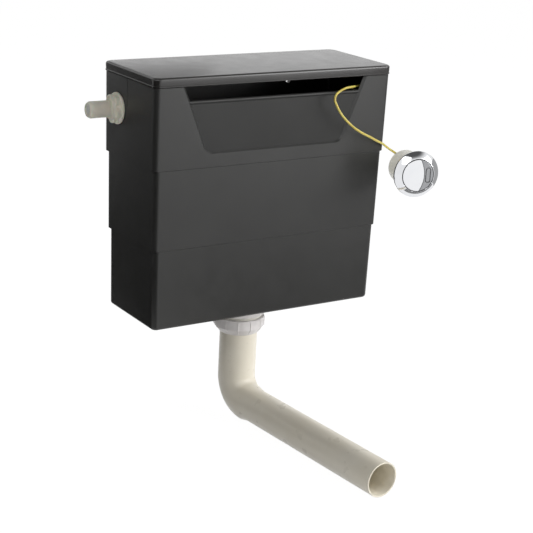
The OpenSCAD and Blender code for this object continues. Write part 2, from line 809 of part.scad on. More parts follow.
// Outlet coupling and flush pipe
coupling_top = spigot_end + 8;
coupling_r = spigot_r + coupling_wall;
coupling_low = coupling_top - coupling_h;
seal_h = 4.5;
rib_out = 0.6;
rib_turn = 27;
nut_taper = coupling_h * 0.4;
nut_profile = [
    [spigot_r + 0.2, coupling_top], [coupling_r, coupling_top], [coupling_r, coupling_low + nut_taper],
    [pipe_r + 1.4, coupling_low], [pipe_r + 0.4, coupling_low],
    [pipe_r + 0.4, spigot_end - seal_h], [spigot_r + 0.2, spigot_end - seal_h]
];
rib_profile = [
    [spigot_r + 1, coupling_top - 1], [coupling_r, coupling_top - 1],
    [coupling_r + rib_out, coupling_top - 2.5], [coupling_r + rib_out, coupling_low + nut_taper - 0.5],
    [pipe_r + 1.5 + rib_out, coupling_low + 0.8], [pipe_r + 1, coupling_low + 0.8],
    [pipe_r + 1, coupling_low + 3], [spigot_r + 1, coupling_low + nut_taper]
];

module coupling_nut() {
    color([0.86, 0.85, 0.83])
    at_outlet() {
        rotate_extrude() polygon(nut_profile);
        // Twelve grip ribs
        intersection() {
            rotate_extrude() polygon(rib_profile);
            for (a = [0:30:150])
                rotate([0, 0, a + rib_turn])
                    translate([-2 * coupling_r, -1, coupling_low - 1]) cube([4 * coupling_r, 2, coupling_h + 2]);
        }
    }
}

module pipe_seal() {
    color([0.12, 0.12, 0.12])
    at_outlet() translate([0, 0, spigot_end - seal_h])
        difference() {
            cylinder(r = spigot_r - 0.4, h = seal_h);
            translate([0, 0, -1]) cylinder(r = pipe_r + loose_gap, h = 7);
        }
}

leg_z = floor_z - pipe_drop;
pipe_start = spigot_end + 10;
reducer = 14;
end_r = pipe_end_d / 2;

// The pipe's run, drawn solid; grown inwards by t it is the bore
module pipe_run(t, over) {
    translate([0, 0, leg_z + bend_r]) cylinder(r = pipe_r - t, h = pipe_start - leg_z - bend_r + over);
    translate([0, -bend_r, leg_z + bend_r])
        rotate([0, 90, 0]) rotate([0, 0, 0])
            rotate_extrude(angle = 90) translate([bend_r, 0]) circle(pipe_r - t);
    translate([0, -bend_r, leg_z]) rotate([90, 0, 0]) {
        cylinder(r1 = pipe_r - t, r2 = end_r - t, h = reducer);
        translate([0, 0, reducer]) cylinder(r = end_r - t, h = pipe_reach - bend_r - reducer + over);
    }
}

module flush_pipe() {
    color([0.87, 0.85, 0.79])
    at_outlet() rotate([0, 0, pipe_turn])
        difference() {
            pipe_run(0, 0);
            pipe_run(pipe_wall, 1);
        }
}

// Push button, drawn with Z out of its face and then set in its place
button_at = [175, -200, -92];
button_yaw = -17;
module at_button() {
    translate(button_at) rotate([0, 0, button_yaw]) rotate([90, 0, 0]) children();
}
bezel_r = bezel_d / 2;
bezel_bore_r = bezel_bore_d / 2;
barrel_r = barrel_d / 2;
barrel_wall = 2;
cap_plate = 2;
rim_t = 1.5;
shelf_z = -13;
shelf_t = 2.5;
full_stem = [-6, -rocker_arm];
half_stem = [12.5, -8.5];
stem_r = 2.5;
key_r = bezel_bore_r - 0.8;
key_top = bezel_h + 0.3;
key_under = 2;
key_well = press_travel + 0.5 - key_under;
split_r = 38;
split_x = -29.5;
split_gap = 0.5;
// Height of the rocker's pin above the barrel's end
rocker_up = 14;
rocker_z = rocker_up - barrel_len;
rocker_pin_r = 1.5;
wire_u = -6;
entry_len = 6;
full_stem_low = rocker_z + press_travel / 2 + 2 + loose_gap;
half_stem_low = full_stem_low + half_travel;

module bezel() {
    arc = [for (a = [0:9:90]) [bezel_bore_r + (bezel_r - bezel_bore_r) * cos(a), bezel_h * sin(a)]];
    color([0.85, 0.86, 0.87])
    at_button() rotate_extrude($fn = 96)
        polygon(concat([[bezel_bore_r, -rim_t], [bezel_r, -rim_t]], arc));
}

lug_w = 3.6;
lug_x = barrel_r - barrel_wall - 3.2;

module button_barrel() {
    color([0.9, 0.89, 0.84])
    at_button()
        difference() {
            union() {
                difference() {
                    translate([0, 0, cap_plate - barrel_len])
                        cylinder(r = barrel_r, h = barrel_len - cap_plate - rim_t);
                    translate([0, 0, cap_plate - barrel_len - 1])
                        cylinder(r = barrel_r - barrel_wall, h = barrel_len + 2);
                    // Wider at the mouth, where the keys sink in
                    translate([0, 0, -key_well]) cylinder(r = key_r + 0.25, h = key_well + 1);
                }
                // Collar under the bezel
                translate([0, 0, -rim_t - 2])
                    difference() {
                        cylinder(r = barrel_r + 3, h = 2);
                        translate([0, 0, -1]) cylinder(r = key_r + 0.25, h = 4);
                    }
                translate([0, 0, shelf_z - shelf_t]) cylinder(r = barrel_r - barrel_wall + eps, h = shelf_t);
                // Lugs for the rocker's pin
                for (s = [-1, 1])
                    translate([s * lug_x - lug_w / 2, -3.5, rocker_z - 3.5])
                        cube([lug_w, 7, shelf_z - 1 - rocker_z + 3.5]);
            }
            for (p = [full_stem, half_stem])
                translate([p[0], p[1], shelf_z - shelf_t - 1]) cylinder(r = stem_r + run_gap, h = shelf_t + 2, $fn = 32);
            along_x(-barrel_r + barrel_wall, 0, rocker_z)
                cylinder(r = rocker_pin_r + run_gap, h = 2 * (barrel_r - barrel_wall), $fn = 32);
        }
}

module barrel_cap() {
    color([0.88, 0.87, 0.82])
    at_button()
        difference() {
            union() {
                translate([0, 0, -barrel_len]) cylinder(r = barrel_r, h = cap_plate);
                translate([0, 0, -barrel_len])
                    difference() {
                        cylinder(r = barrel_r - barrel_wall - run_gap, h = cap_plate + 2);
                        translate([0, 0, cap_plate]) cylinder(r = barrel_r - barrel_wall - 2, h = 4);
                    }
            }
            translate([wire_u, wire_arm, -barrel_len - 1])
                cylinder(r = ferrule_r + run_gap, h = cap_plate + 1, $fn = 32);
        }
}

module key_disc(h) {
    cylinder(r = key_r, h = h, $fn = 96);
}

module full_button() {
    color([0.88, 0.89, 0.9])
    at_button() {
        intersection() {
            translate([0, 0, key_under]) key_disc(key_top - key_under);
            translate([split_x, 0, key_under]) cylinder(r = split_r - split_gap / 2, h = bezel_h, $fn = 96);
        }
        translate([full_stem[0], full_stem[1], full_stem_low]) cylinder(r = stem_r, h = key_under - full_stem_low + 1, $fn = 32);
    }
}

module half_button() {
    color([0.8, 0.81, 0.82])
    at_button() {
        difference() {
            translate([0, 0, key_under]) key_disc(key_top - key_under);
            translate([split_x, 0, key_under - 1]) cylinder(r = split_r + split_gap / 2, h = bezel_h + 2, $fn = 96);
            // Oval groove in the face
            translate([split_x + split_r + 6.4, 0, key_top - 0.8])
                linear_extrude(1)
                    difference() {
                        oval(3.6, 8);
                        oval(2.4, 8);
                    }
        }
        translate([half_stem[0], half_stem[1], half_stem_low]) cylinder(r = stem_r, h = key_under - half_stem_low + 1, $fn = 32);
    }
}

module oval(r, half) {
    translate([-r, -half + 3]) square([2 * r, 2 * half - 6]);
    for (s = [-1, 1])
        translate([0, s * (half - 3)]) circle(r, $fn = 32);
}

// Sweep of a round tube along a list of points, with frames carried from ring to ring
function unit(v) = v / norm(v);
function tangent(p, i) =
    unit(p[min(i + 1, len(p) - 1)] - p[max(i - 1, 0)]);
function square_to(v, t) = unit(v - (v * t) * t);
function frames(p, side) = [
    for (i = 0, s = square_to(side, tangent(p, 0)); i < len(p);
         i = i + 1, s = i < len(p) ? square_to(s, tangent(p, i)) : s) s
];
module sweep(p, r, sides, side) {
    f = frames(p, side);
    ring = [
        for (i = [0:len(p) - 1])
            let (t = tangent(p, i), b = cross(t, f[i]))
                for (k = [0:sides - 1])
                    p[i] + r * (cos(360 * k / sides) * f[i] + sin(360 * k / sides) * b)
    ];
    n = len(p);
    skin = [
        for (i = [0:n - 2])
            for (k = [0:sides - 1])
                let (a = i * sides + k, b = i * sides + (k + 1) % sides)
                    each [[a, a + sides, b], [b, a + sides, b + sides]]
    ];
    first = [for (k = [1:sides - 2]) [0, k, k + 1]];
    last = [for (k = [1:sides - 2]) [(n - 1) * sides, (n - 1) * sides + k + 1, (n - 1) * sides + k]];
    polyhedron(concat(ring), concat(skin, first, last));
}

function curl(n, r, z0, z1) = [
    for (i = [0:8 * n]) [r * cos(45 * i), r * sin(45 * i), z0 + (z1 - z0) * i / (8 * n)]
];

module return_spring() {
    color([0.7, 0.7, 0.72])
    at_outlet()
        sweep(curl(curls, spring_r, spring_low + spring_wire, spring_high - spring_wire), spring_wire, 6, [0, 0, 1]);
}

module rocker() {
    plate_t = 1.4;
    shaft = 2 * (lug_x - lug_w / 2 - 0.6);
    paddle = [full_stem[0] - 4, half_stem[0] + 1.5];
    color([0.93, 0.92, 0.88])
    at_button() translate([0, 0, rocker_z]) rotate([-rocker_swing / 2, 0, 0])
        difference() {
            union() {
                along_x(-shaft / 2, 0, 0) cylinder(r = 4, h = shaft, $fn = 32);
                translate([paddle[0], -rocker_arm, -plate_t]) cube([paddle[1] - paddle[0], rocker_arm, 2 * plate_t]);
                along_x(paddle[0], -rocker_arm, 0) cylinder(r = 2, h = paddle[1] - paddle[0], $fn = 32);
                for (s = [-1, 1])
                    translate([wire_u + s * (fork_gap + 1) - 1, 0, -fork_half])
                        cube([2, wire_arm + 3.5, 2 * fork_half]);
            }
            along_x(-shaft / 2 - 1, 0, 0) cylinder(r = rocker_pin_r + run_gap, h = shaft + 2, $fn = 32);
        }
}

module rocker_pin() {
    half = lug_x + lug_w / 2;
    color([0.7, 0.7, 0.7])
    at_button() along_x(-half, 0, rocker_z) cylinder(r = rocker_pin_r, h = 2 * half, $fn = 32);
}

module button_wire() {
    nipple_z = rocker_z - wire_pull / 2 + nipple_off(rocker_swing);
    color([0.75, 0.75, 0.76])
    at_button() translate([wire_u, wire_arm, 0]) {
        translate([0, 0, -barrel_len - 2]) cylinder(r = wire_r, h = barrel_len + 2 + nipple_z, $fn = 24);
        along_x(-nipple_len / 2, 0, nipple_z) cylinder(r = nipple_r, h = nipple_len, $fn = 32);
    }
}

module button_ferrule() {
    color([0.85, 0.85, 0.82])
    at_button() translate([wire_u, wire_arm, -barrel_len])
        difference() {
            union() {
                translate([0, 0, -entry_len]) cylinder(r = sleeve_r, h = entry_len, $fn = 32);
                translate([0, 0, -2]) cylinder(r = ferrule_r + 2, h = 2, $fn = 32);
                translate([0, 0, -1]) cylinder(r = ferrule_r, h = cap_plate + 1, $fn = 32);
            }
            translate([0, 0, -entry_len - 1]) cylinder(r = wire_r + loose_gap, h = entry_len + 6, $fn = 24);
        }
}

// Route of the cable, from the head's ferrule through the slot to the button
cable_start = [ferrule_end, mid_y, wire_z];
function turned(v) = [v[0] * cos(button_yaw) + v[2] * sin(button_yaw), v[0] * sin(button_yaw) - v[2] * cos(button_yaw), v[1]];
cable_end = button_at + turned([wire_u, wire_arm, -barrel_len - entry_len]);
cable_route = [
    [72, -68.5, -31], [90, -69, -31], [111, -71, -29], [131, -76, -25],
    [147, -84, -18], [156, -94, -9.5], [157.5, -105, -0.5], [152, -114.5, 6.5],
    [142, -120.5, 10], [132, -124, 11.2], [123, -127, 11.5], [112.5, -131.5, 12],
    [101, -136.5, 12], [91, -141, 10.5], [82.5, -145, 8], [77.5, -148, 4.5],
    [76, -150, -0.5], [78, -151.2, -5.5], [81.5, -152, -12], [87, -152.7, -19.4],
    [94, -153, -26.3], [103, -152.8, -33.6], [112.5, -152, -39.8], [123, -150.5, -45.3],
    [136, -147.5, -51.2], [150, -143.8, -57.8], [163, -140, -63.7], [172, -137, -69],
    [178.5, -136, -73], [183, -138, -76], [185, -141.5, -78], [185.2, -145.6, -78.5]
];
// Points on a smooth curve through the route, n to a stretch
function smooth(p, n) = [
    for (i = [0:len(p) - 2])
        let (a = p[max(i - 1, 0)], b = p[i], c = p[i + 1], d = p[min(i + 2, len(p) - 1)])
            for (k = [0:n - 1])
                let (t = k / n)
                    0.5 * (2 * b + t * (c - a) + t * t * (2 * a - 5 * b + 4 * c - d)
                        + t * t * t * (3 * b - a - 3 * c + d)),
    p[len(p) - 1]
];

module cable() {
    color([0.85, 0.78, 0.4])
    sweep(smooth(concat([cable_start], cable_route, [cable_end]), 2), cable_d / 2, 8, [0, 0, 1]);
}

tank();
lid();
inlet_backnut();
inlet_washer();
fill_valve_body();
inlet_filter();
fill_diaphragm();
fill_valve_cap();
arm_pin();
float_arm();
level_screw();
float_cup();
silencer_tube();
valve_base();
base_washer();
tank_backnut();
valve_tower();
overflow_tube();
valve_seal();
full_float();
half_float();
return_spring();
cable_head();
lift_lever();
lever_pin();
head_wire();
head_ferrule();
coupling_nut();
pipe_seal();
flush_pipe();
cable();
button_ferrule();
button_wire();
button_barrel();
barrel_cap();
bezel();
full_button();
half_button();
rocker();
rocker_pin();
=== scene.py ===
import json
import math

import bmesh
import bpy
from mathutils import Matrix, Vector
from mathutils.geometry import interpolate_bezier


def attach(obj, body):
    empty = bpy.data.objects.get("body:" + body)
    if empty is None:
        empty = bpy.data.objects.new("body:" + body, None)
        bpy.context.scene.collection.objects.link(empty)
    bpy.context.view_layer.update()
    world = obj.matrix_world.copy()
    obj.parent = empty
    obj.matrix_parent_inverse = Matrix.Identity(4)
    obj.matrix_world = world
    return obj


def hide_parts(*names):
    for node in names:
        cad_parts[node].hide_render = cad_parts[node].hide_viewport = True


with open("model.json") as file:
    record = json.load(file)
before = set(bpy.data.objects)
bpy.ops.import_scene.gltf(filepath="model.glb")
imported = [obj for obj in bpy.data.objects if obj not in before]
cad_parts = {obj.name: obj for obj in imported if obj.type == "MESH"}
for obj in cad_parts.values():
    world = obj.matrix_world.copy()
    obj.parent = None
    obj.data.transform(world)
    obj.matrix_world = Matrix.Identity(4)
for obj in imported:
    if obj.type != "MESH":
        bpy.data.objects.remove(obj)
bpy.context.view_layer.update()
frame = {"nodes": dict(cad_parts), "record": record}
print("frame loaded")

# Shapes are drawn in millimetres in the frame's own axes, and scaled to metres at the end
mm = 0.001
weld = 0.0005  # points closer than this are one
past = 2  # how far a cutting tool runs past what it cuts
runGap = 0.05  # between pieces that slide or thread together

# The photograph's view, from the left and a little above
photoView = {
    "azimuth": -33.2357,
    "elevation": 17.3919,
    "roll": 2.9726,
    "target": (42.74, -63.75, -239.08),
    "distance": 1905.36,
    "lens": 96.05,
}


def aimCamera(view):
    azimuth = math.radians(view["azimuth"])
    elevation = math.radians(view["elevation"])
    roll = math.radians(view["roll"])
    back = Vector((
        math.sin(azimuth) * math.cos(elevation),
        -math.cos(azimuth) * math.cos(elevation),
        math.sin(elevation),
    ))
    right = Vector((math.cos(azimuth), math.sin(azimuth), 0))
    up = back.cross(right)
    rolledRight = right * math.cos(roll) + up * math.sin(roll)
    rolledUp = up * math.cos(roll) - right * math.sin(roll)
    camera = bpy.data.objects.new("photoCamera", bpy.data.cameras.new("photoCamera"))
    bpy.context.scene.collection.objects.link(camera)
    camera.data.lens = view["lens"]
    camera.data.clip_start = 0.05
    camera.data.clip_end = 40
    turn = Matrix((rolledRight, rolledUp, back)).transposed().to_4x4()
    place = (Vector(view["target"]) + back * view["distance"]) * mm
    camera.matrix_world = Matrix.Translation(place) @ turn
    bpy.context.scene.camera = camera


aimCamera(photoView)
print("camera placed")

# The flush cable's route, repeated from the part's source
cable = {
    "thickness": 3.0,
    "length": 374.3,
    "start": (62, -68.5, -30.878),
    "end": (183.633, -151.383, -78.5),
    "route": [
        (72, -68.5, -31), (90, -69, -31), (111, -71, -29), (131, -76, -25),
        (147, -84, -18), (156, -94, -9.5), (157.5, -105, -0.5), (152, -114.5, 6.5),
        (142, -120.5, 10), (132, -124, 11.2), (123, -127, 11.5), (112.5, -131.5, 12),
        (101, -136.5, 12), (91, -141, 10.5), (82.5, -145, 8), (77.5, -148, 4.5),
        (76, -150, -0.5), (78, -151.2, -5.5), (81.5, -152, -12), (87, -152.7, -19.4),
        (94, -153, -26.3), (103, -152.8, -33.6), (112.5, -152, -39.8), (123, -150.5, -45.3),
        (136, -147.5, -51.2), (150, -143.8, -57.8), (163, -140, -63.7), (172, -137, -69),
        (178.5, -136, -73), (183, -138, -76), (185, -141.5, -78), (185.2, -145.6, -78.5),
    ],
}


def layCable(look):
    # a round tube along a smooth curve through the route's points
    knots = [Vector(p) * mm for p in [look["start"], *look["route"], look["end"]]]
    line = bpy.data.curves.new("cableLine", "CURVE")
    line.dimensions = "3D"
    line.resolution_u = 6
    line.bevel_depth = look["thickness"] / 2 * mm
    line.bevel_resolution = 4
    line.use_fill_caps = True
    spline = line.splines.new("BEZIER")
    spline.bezier_points.add(len(knots) - 1)
    path = []
    for i, knot in enumerate(spline.bezier_points):
        lean = (knots[min(i + 1, len(knots) - 1)] - knots[max(i - 1, 0)]) / 6
        knot.handle_left_type = knot.handle_right_type = "FREE"
        knot.co = knots[i]
        knot.handle_left = knots[i] - lean
        knot.handle_right = knots[i] + lean
        if i:
            before = spline.bezier_points[i - 1]
            path += interpolate_bezier(before.co, before.handle_right, knot.handle_left, knot.co, 4)[:-1]
    path.append(knots[-1])
    drawn = bpy.data.objects.new("cableLine", line)
    bpy.context.scene.collection.objects.link(drawn)
    mesh = bpy.data.meshes.new_from_object(drawn)
    bpy.data.objects.remove(drawn)
    mesh.name = "flushCable"
    piece = bpy.data.objects.new("flushCable", mesh)
    bpy.context.scene.collection.objects.link(piece)
    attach(piece, "cistern")
    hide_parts("cable")
    return piece


flushCable = layCable(cable)
print("cable laid")


def fromHex(code):
    # sRGB hex to the linear colour that the shader takes
    parts = [int(code[i:i + 2], 16) / 255 for i in (1, 3, 5)]
    return tuple(c / 12.92 if c <= 0.04045 else ((c + 0.055) / 1.055) ** 2.4 for c in parts) + (1.0,)


def addNode(tree, kind, settings=None, values=None, links=None):
    # one node with its settings, its plain values and what feeds it
    node = tree.nodes.new(kind)
    for name, value in (settings or {}).items():
        setattr(node, name, value)
    for socket, value in (values or {}).items():
        node.inputs[socket].default_value = value
    for socket, source in (links or {}).items():
        tree.links.new(source, node.inputs[socket])
    return node


def freshMaterial(name):
    material = bpy.data.materials.new(name)
    material.use_nodes = True
    material.node_tree.nodes.clear()
    return material, material.node_tree


def finishOf(name, look):
    # cloudy colour, uneven gloss and a fine surface grain, each at its size in millimetres
    material, tree = freshMaterial(name)
    where = addNode(tree, "ShaderNodeTexCoord").outputs["Object"]
    if "stretch" in look:
        where = addNode(tree, "ShaderNodeMapping", values={"Scale": look["stretch"]},
                        links={"Vector": where}).outputs["Vector"]
    cloud = addNode(tree, "ShaderNodeTexNoise",
                    values={"Scale": 1 / (look["cloud"] * mm), "Detail": 3.0},
                    links={"Vector": where})
    colour = addNode(tree, "ShaderNodeValToRGB", links={"Fac": cloud.outputs["Fac"]})
    colour.color_ramp.elements[0].position = 0.35
    colour.color_ramp.elements[0].color = fromHex(look["shade"])
    colour.color_ramp.elements[1].position = 0.65
    colour.color_ramp.elements[1].color = fromHex(look["colour"])
    haze = addNode(tree, "ShaderNodeTexNoise",
                   values={"Scale": 1 / (look["haze"] * mm), "Detail": 4.0},
                   links={"Vector": where})
    rough = addNode(tree, "ShaderNodeMapRange",
                    values={"From Min": 0.3, "From Max": 0.7,
                            "To Min": look["gloss"][0], "To Max": look["gloss"][1]},
                    links={"Value": haze.outputs["Fac"]})
    grain = addNode(tree, "ShaderNodeTexNoise",
                    values={"Scale": 1 / (look["grain"] * mm), "Detail": 2.0},
                    links={"Vector": where})
    bump = addNode(tree, "ShaderNodeBump",
                   values={"Strength": look["relief"], "Distance": look["grain"] * mm},
                   links={"Height": grain.outputs["Fac"]})
    shader = addNode(tree, "ShaderNodeBsdfPrincipled", values=look.get("sockets"),
                     links={"Base Color": colour.outputs["Color"],
                            "Roughness": rough.outputs["Result"],
                            "Normal": bump.outputs["Normal"]})
    addNode(tree, "ShaderNodeOutputMaterial", links={"Surface": shader.outputs["BSDF"]})
    return material


finishes = {
    # Injection-moulded polypropylene, fine satin tool grain: near-black, soft broad reflections
    "charcoal_polypropylene": {
        "colour": "#2b2b2a", "shade": "#282827", "cloud": 70, "haze": 18, "gloss": (0.36, 0.42),
        "grain": 0.9, "relief": 0.035, "sockets": {"IOR": 1.5},
    },
    # The recess's face and its lip: a darker copy of the tank's finish with weaker reflections, painted
    # shade in the recess under the lid
    "recess_painted_shade": {
        "colour": "#272726", "shade": "#232322", "cloud": 70, "haze": 18, "gloss": (0.4, 0.5),
        "grain": 0.9, "relief": 0.02, "sockets": {"IOR": 1.5, "Specular IOR Level": 0.3},
    },
    # The same polymer from a polished tool: the top mirrors the bright room behind it
    "lid_polypropylene": {
        "colour": "#2c2a29", "shade": "#272625", "cloud": 60, "haze": 22, "gloss": (0.2, 0.25),
        "grain": 1.1, "relief": 0.004,
        "sockets": {"IOR": 1.5, "Coat Weight": 0.15, "Coat Roughness": 0.16, "Coat IOR": 1.5},
    },
    # Natural nylon, moulded and a little see-through, so light softens inside it
    "natural_nylon": {
        "colour": "#ece8d9", "shade": "#e3dfcf", "cloud": 12, "haze": 5, "gloss": (0.36, 0.5),
        "grain": 0.5, "relief": 0.05,
        "sockets": {"IOR": 1.53, "Subsurface Weight": 0.25, "Subsurface Scale": 0.003},
    },
    # Moulded acetal: dense, waxy white
    "white_acetal": {
        "colour": "#e3e1d8", "shade": "#dcdad0", "cloud": 25, "haze": 8, "gloss": (0.3, 0.42),
        "grain": 0.5, "relief": 0.04, "sockets": {"IOR": 1.48},
    },
    # Acetal coloured blue in the mass
    "blue_acetal": {
        "colour": "#2f5f98", "shade": "#2a5689", "cloud": 22, "haze": 8, "gloss": (0.3, 0.42),
        "grain": 0.5, "relief": 0.04, "sockets": {"IOR": 1.48},
    },
    # Polypropylene coloured red in the mass
    "red_polypropylene": {
        "colour": "#b53a31", "shade": "#a8342c", "cloud": 25, "haze": 8, "gloss": (0.34, 0.46),
        "grain": 0.5, "relief": 0.04, "sockets": {"IOR": 1.49},
    },
    # Nitrile rubber, moulded: black with a dusty bloom
    "black_rubber": {
        "colour": "#262626", "shade": "#1d1d1d", "cloud": 6, "haze": 3, "gloss": (0.65, 0.85),
        "grain": 0.4, "relief": 0.12, "sockets": {"IOR": 1.52},
    },
    # Polystyrene from a smooth tool: bright and fairly glossy
    "float_polystyrene": {
        "colour": "#ecebe5", "shade": "#e6e4dd", "cloud": 30, "haze": 10, "gloss": (0.18, 0.28),
        "grain": 0.6, "relief": 0.02, "sockets": {"IOR": 1.59},
    },
    # White polypropylene with the cool lilac cast that the nuts show
    "coupling_white": {
        "colour": "#e8e4e2", "shade": "#e0dcdb", "cloud": 14, "haze": 6, "gloss": (0.32, 0.46),
        "grain": 0.5, "relief": 0.05, "sockets": {"IOR": 1.49},
    },
    # Extruded ABS pipe: warm cream, smooth along its run
    "pipe_abs": {
        "colour": "#ebe5d6", "shade": "#e6dfce", "cloud": 50, "haze": 16, "gloss": (0.26, 0.36),
        "grain": 0.8, "relief": 0.02,
        "sockets": {"IOR": 1.53},
    },
    # Moulded ABS, cream, as under a chromed bezel
    "barrel_abs": {
        "colour": "#f2f0e6", "shade": "#eceadf", "cloud": 16, "haze": 7, "gloss": (0.3, 0.4),
        "grain": 0.5, "relief": 0.03, "sockets": {"IOR": 1.53},
    },
    # Bright chrome plate on polished ABS: a clear mirror, cool white
    "chromed_abs": {
        "colour": "#e6e7e9", "shade": "#e1e2e5", "cloud": 30, "haze": 9, "gloss": (0.04, 0.08),
        "grain": 6.0, "relief": 0.006, "sockets": {"Metallic": 1.0},
    },
    # The same plate on the half key, which is toned darker so that it can be told apart
    "satin_chrome": {
        "colour": "#9fa0a2", "shade": "#999a9d", "cloud": 20, "haze": 6, "gloss": (0.12, 0.18),
        "grain": 3.0, "relief": 0.008, "sockets": {"Metallic": 1.0},
    },
    # Grey painted shade in the oval engraved on the half key, standing for the shade on its narrow walls
    "engraving_painted_shade": {
        "colour": "#77787a", "shade": "#6f7072", "cloud": 8, "haze": 4, "gloss": (0.4, 0.5),
        "grain": 0.4, "relief": 0.02, "sockets": {"IOR": 1.5},
    },
    # Extruded polyethylene sheath: warm yellow with a soft shine
    "yellow_sheath": {
        "colour": "#d3c266", "shade": "#c6b251", "cloud": 14, "haze": 4, "gloss": (0.3, 0.4),
        "grain": 0.5, "relief": 0.03,
        "sockets": {"IOR": 1.51, "Subsurface Weight": 0.1, "Subsurface Scale": 0.001},
    },
    # Drawn stainless steel: fine lines along its length
    "stainless_steel": {
        "colour": "#a2a3a5", "shade": "#949597", "cloud": 4, "haze": 1.2, "gloss": (0.3, 0.42),
        "grain": 0.35, "relief": 0.05, "sockets": {"Metallic": 1.0}, "stretch": (1, 1, 0.15),
    },
    # Moulded strainer, thin and white
    "strainer_white": {
        "colour": "#e6e6e2", "shade": "#dcdcd7", "cloud": 5, "haze": 3, "gloss": (0.35, 0.5),
        "grain": 0.4, "relief": 0.05, "sockets": {"IOR": 1.5},
    },
}
paints = {name: finishOf(name, look) for name, look in finishes.items()}
flushCable.data.materials.append(paints["yellow_sheath"])

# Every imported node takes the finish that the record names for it
for part in frame["record"]["subparts"]:
    mesh = frame["nodes"][part["node"]].data
    mesh.materials.clear()
    mesh.materials.append(paints[part["material_slot"]])
print("finishes made:", len(paints))


def finishPiece(bm, name, body, finish, standsFor, sharp=35):
    # scales the drawn shape to metres and hangs it on its body
    bmesh.ops.remove_doubles(bm, verts=bm.verts[:], dist=weld)
    bmesh.ops.recalc_face_normals(bm, faces=bm.faces[:])
    bmesh.ops.scale(bm, vec=(mm, mm, mm), verts=bm.verts[:])
    mesh = bpy.data.meshes.new(name)
    bm.to_mesh(mesh)
    bm.free()
    mesh.polygons.foreach_set("use_smooth", [True] * len(mesh.polygons))
    mesh.set_sharp_from_angle(angle=math.radians(sharp))
    mesh.materials.append(paints[finish])
    piece = bpy.data.objects.new(name, mesh)
    bpy.context.scene.collection.objects.link(piece)
    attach(piece, body)
    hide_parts(*standsFor)
    return piece


def softEdges(piece, width, angle):
    # a live bevel on the edges that turn by more than the angle
    edge = piece.modifiers.new("softEdges", "BEVEL")
    edge.width = width * mm
    edge.segments = 2
    edge.limit_method = "ANGLE"
    edge.angle_limit = math.radians(angle)
    return edge


def rounded(bm, geom, radius, segments, affect="EDGES"):
    return bmesh.ops.bevel(bm, geom=geom, offset=radius, segments=segments, profile=0.5,
                           affect=affect, material=-1)


def vertsOf(geom):
    return [g for g in geom if isinstance(g, bmesh.types.BMVert)]


def faceOf(geom):
    return next(g for g in geom if isinstance(g, bmesh.types.BMFace))


def softened(outline, steps=5):
    # rounds each corner of an outline that gives a radius as its third number
    done = []
    for i, corner in enumerate(outline):
        here = Vector(corner[:2])
        if len(corner) < 3:
            done.append(here)
            continue
        before = (Vector(outline[i - 1][:2]) - here).normalized()
        after = (Vector(outline[(i + 1) % len(outline)][:2]) - here).normalized()
        half = before.angle(after) / 2
        centre = here + (before + after).normalized() * corner[2] / math.sin(half)
        first = here + before * corner[2] / math.tan(half) - centre
        last = here + after * corner[2] / math.tan(half) - centre
        for k in range(steps + 1):
            done.append(centre + first.slerp(last, k / steps).normalized() * first.length)
    return done


def turned(outline, place=Matrix(), steps=96):
    # spins a closed outline of (radius, height) round the upright axis
    bm = bmesh.new()
    verts = [bm.verts.new((p[0], 0, p[1])) for p in outline]
    edges = [
        bm.edges.new((verts[i - 1], verts[i])) for i in range(len(verts))
        if outline[i - 1][0] > 1e-6 or outline[i][0] > 1e-6
    ]
    bmesh.ops.spin(bm, geom=verts + edges, cent=(0, 0, 0), axis=(0, 0, 1),
                   angle=2 * math.pi, steps=steps, use_merge=True)
    bmesh.ops.remove_doubles(bm, verts=bm.verts[:], dist=weld)
    bmesh.ops.recalc_face_normals(bm, faces=bm.faces[:])
    bmesh.ops.transform(bm, matrix=place, verts=bm.verts[:])
    return bm


def addBlock(bm, size, centre, edge):
    # a block with rounded edges
    made = bmesh.ops.create_cube(bm, size=1)["verts"]
    bmesh.ops.scale(bm, vec=size, verts=made)
    rims = list({e for v in made for e in v.link_edges})
    eased = rounded(bm, rims, edge, 2)
    made = list({v for f in eased["faces"] for v in f.verts} | {v for v in made if v.is_valid})
    bmesh.ops.translate(bm, vec=centre, verts=made)


def addTo(bm, other):
    # joins another drawn shape to this one as a shell of its own
    mesh = bpy.data.meshes.new("joined")
    other.to_mesh(mesh)
    other.free()
    bm.from_mesh(mesh)
    bpy.data.meshes.remove(mesh)


def asTool(bm):
    tool = bpy.data.objects.new("tool", bpy.data.meshes.new("tool"))
    bpy.context.scene.collection.objects.link(tool)
    bmesh.ops.recalc_face_normals(bm, faces=bm.faces[:])
    bm.to_mesh(tool.data)
    bm.free()
    return tool


def carved(bm, tools):
    # cuts or adds each tool in turn, and puts the tools away
    work = asTool(bm)
    for how, shape in tools:
        tool = asTool(shape)
        step = work.modifiers.new("carve", "BOOLEAN")
        step.operation = how
        step.solver = "EXACT"
        step.object = tool
        bpy.context.view_layer.update()
        cut = bpy.data.meshes.new_from_object(
            work.evaluated_get(bpy.context.evaluated_depsgraph_get()))
        work.modifiers.clear()
        work.data = cut
        bpy.data.objects.remove(tool)
    done = bmesh.new()
    done.from_mesh(work.data)
    bpy.data.objects.remove(work)
    return done


def rod(radius, low, high, place=Matrix(), steps=64):
    return turned([(0, low), (radius, low), (radius, high), (0, high)], place, steps)


def alongX(x, y, z):
    return Matrix.Translation((x, y, z)) @ Matrix.Rotation(math.radians(90), 4, "Y")


def alongY(x, y, z):
    return Matrix.Translation((x, y, z)) @ Matrix.Rotation(math.radians(-90), 4, "X")


outletAxis = Matrix.Translation((0, -68.5, 0))

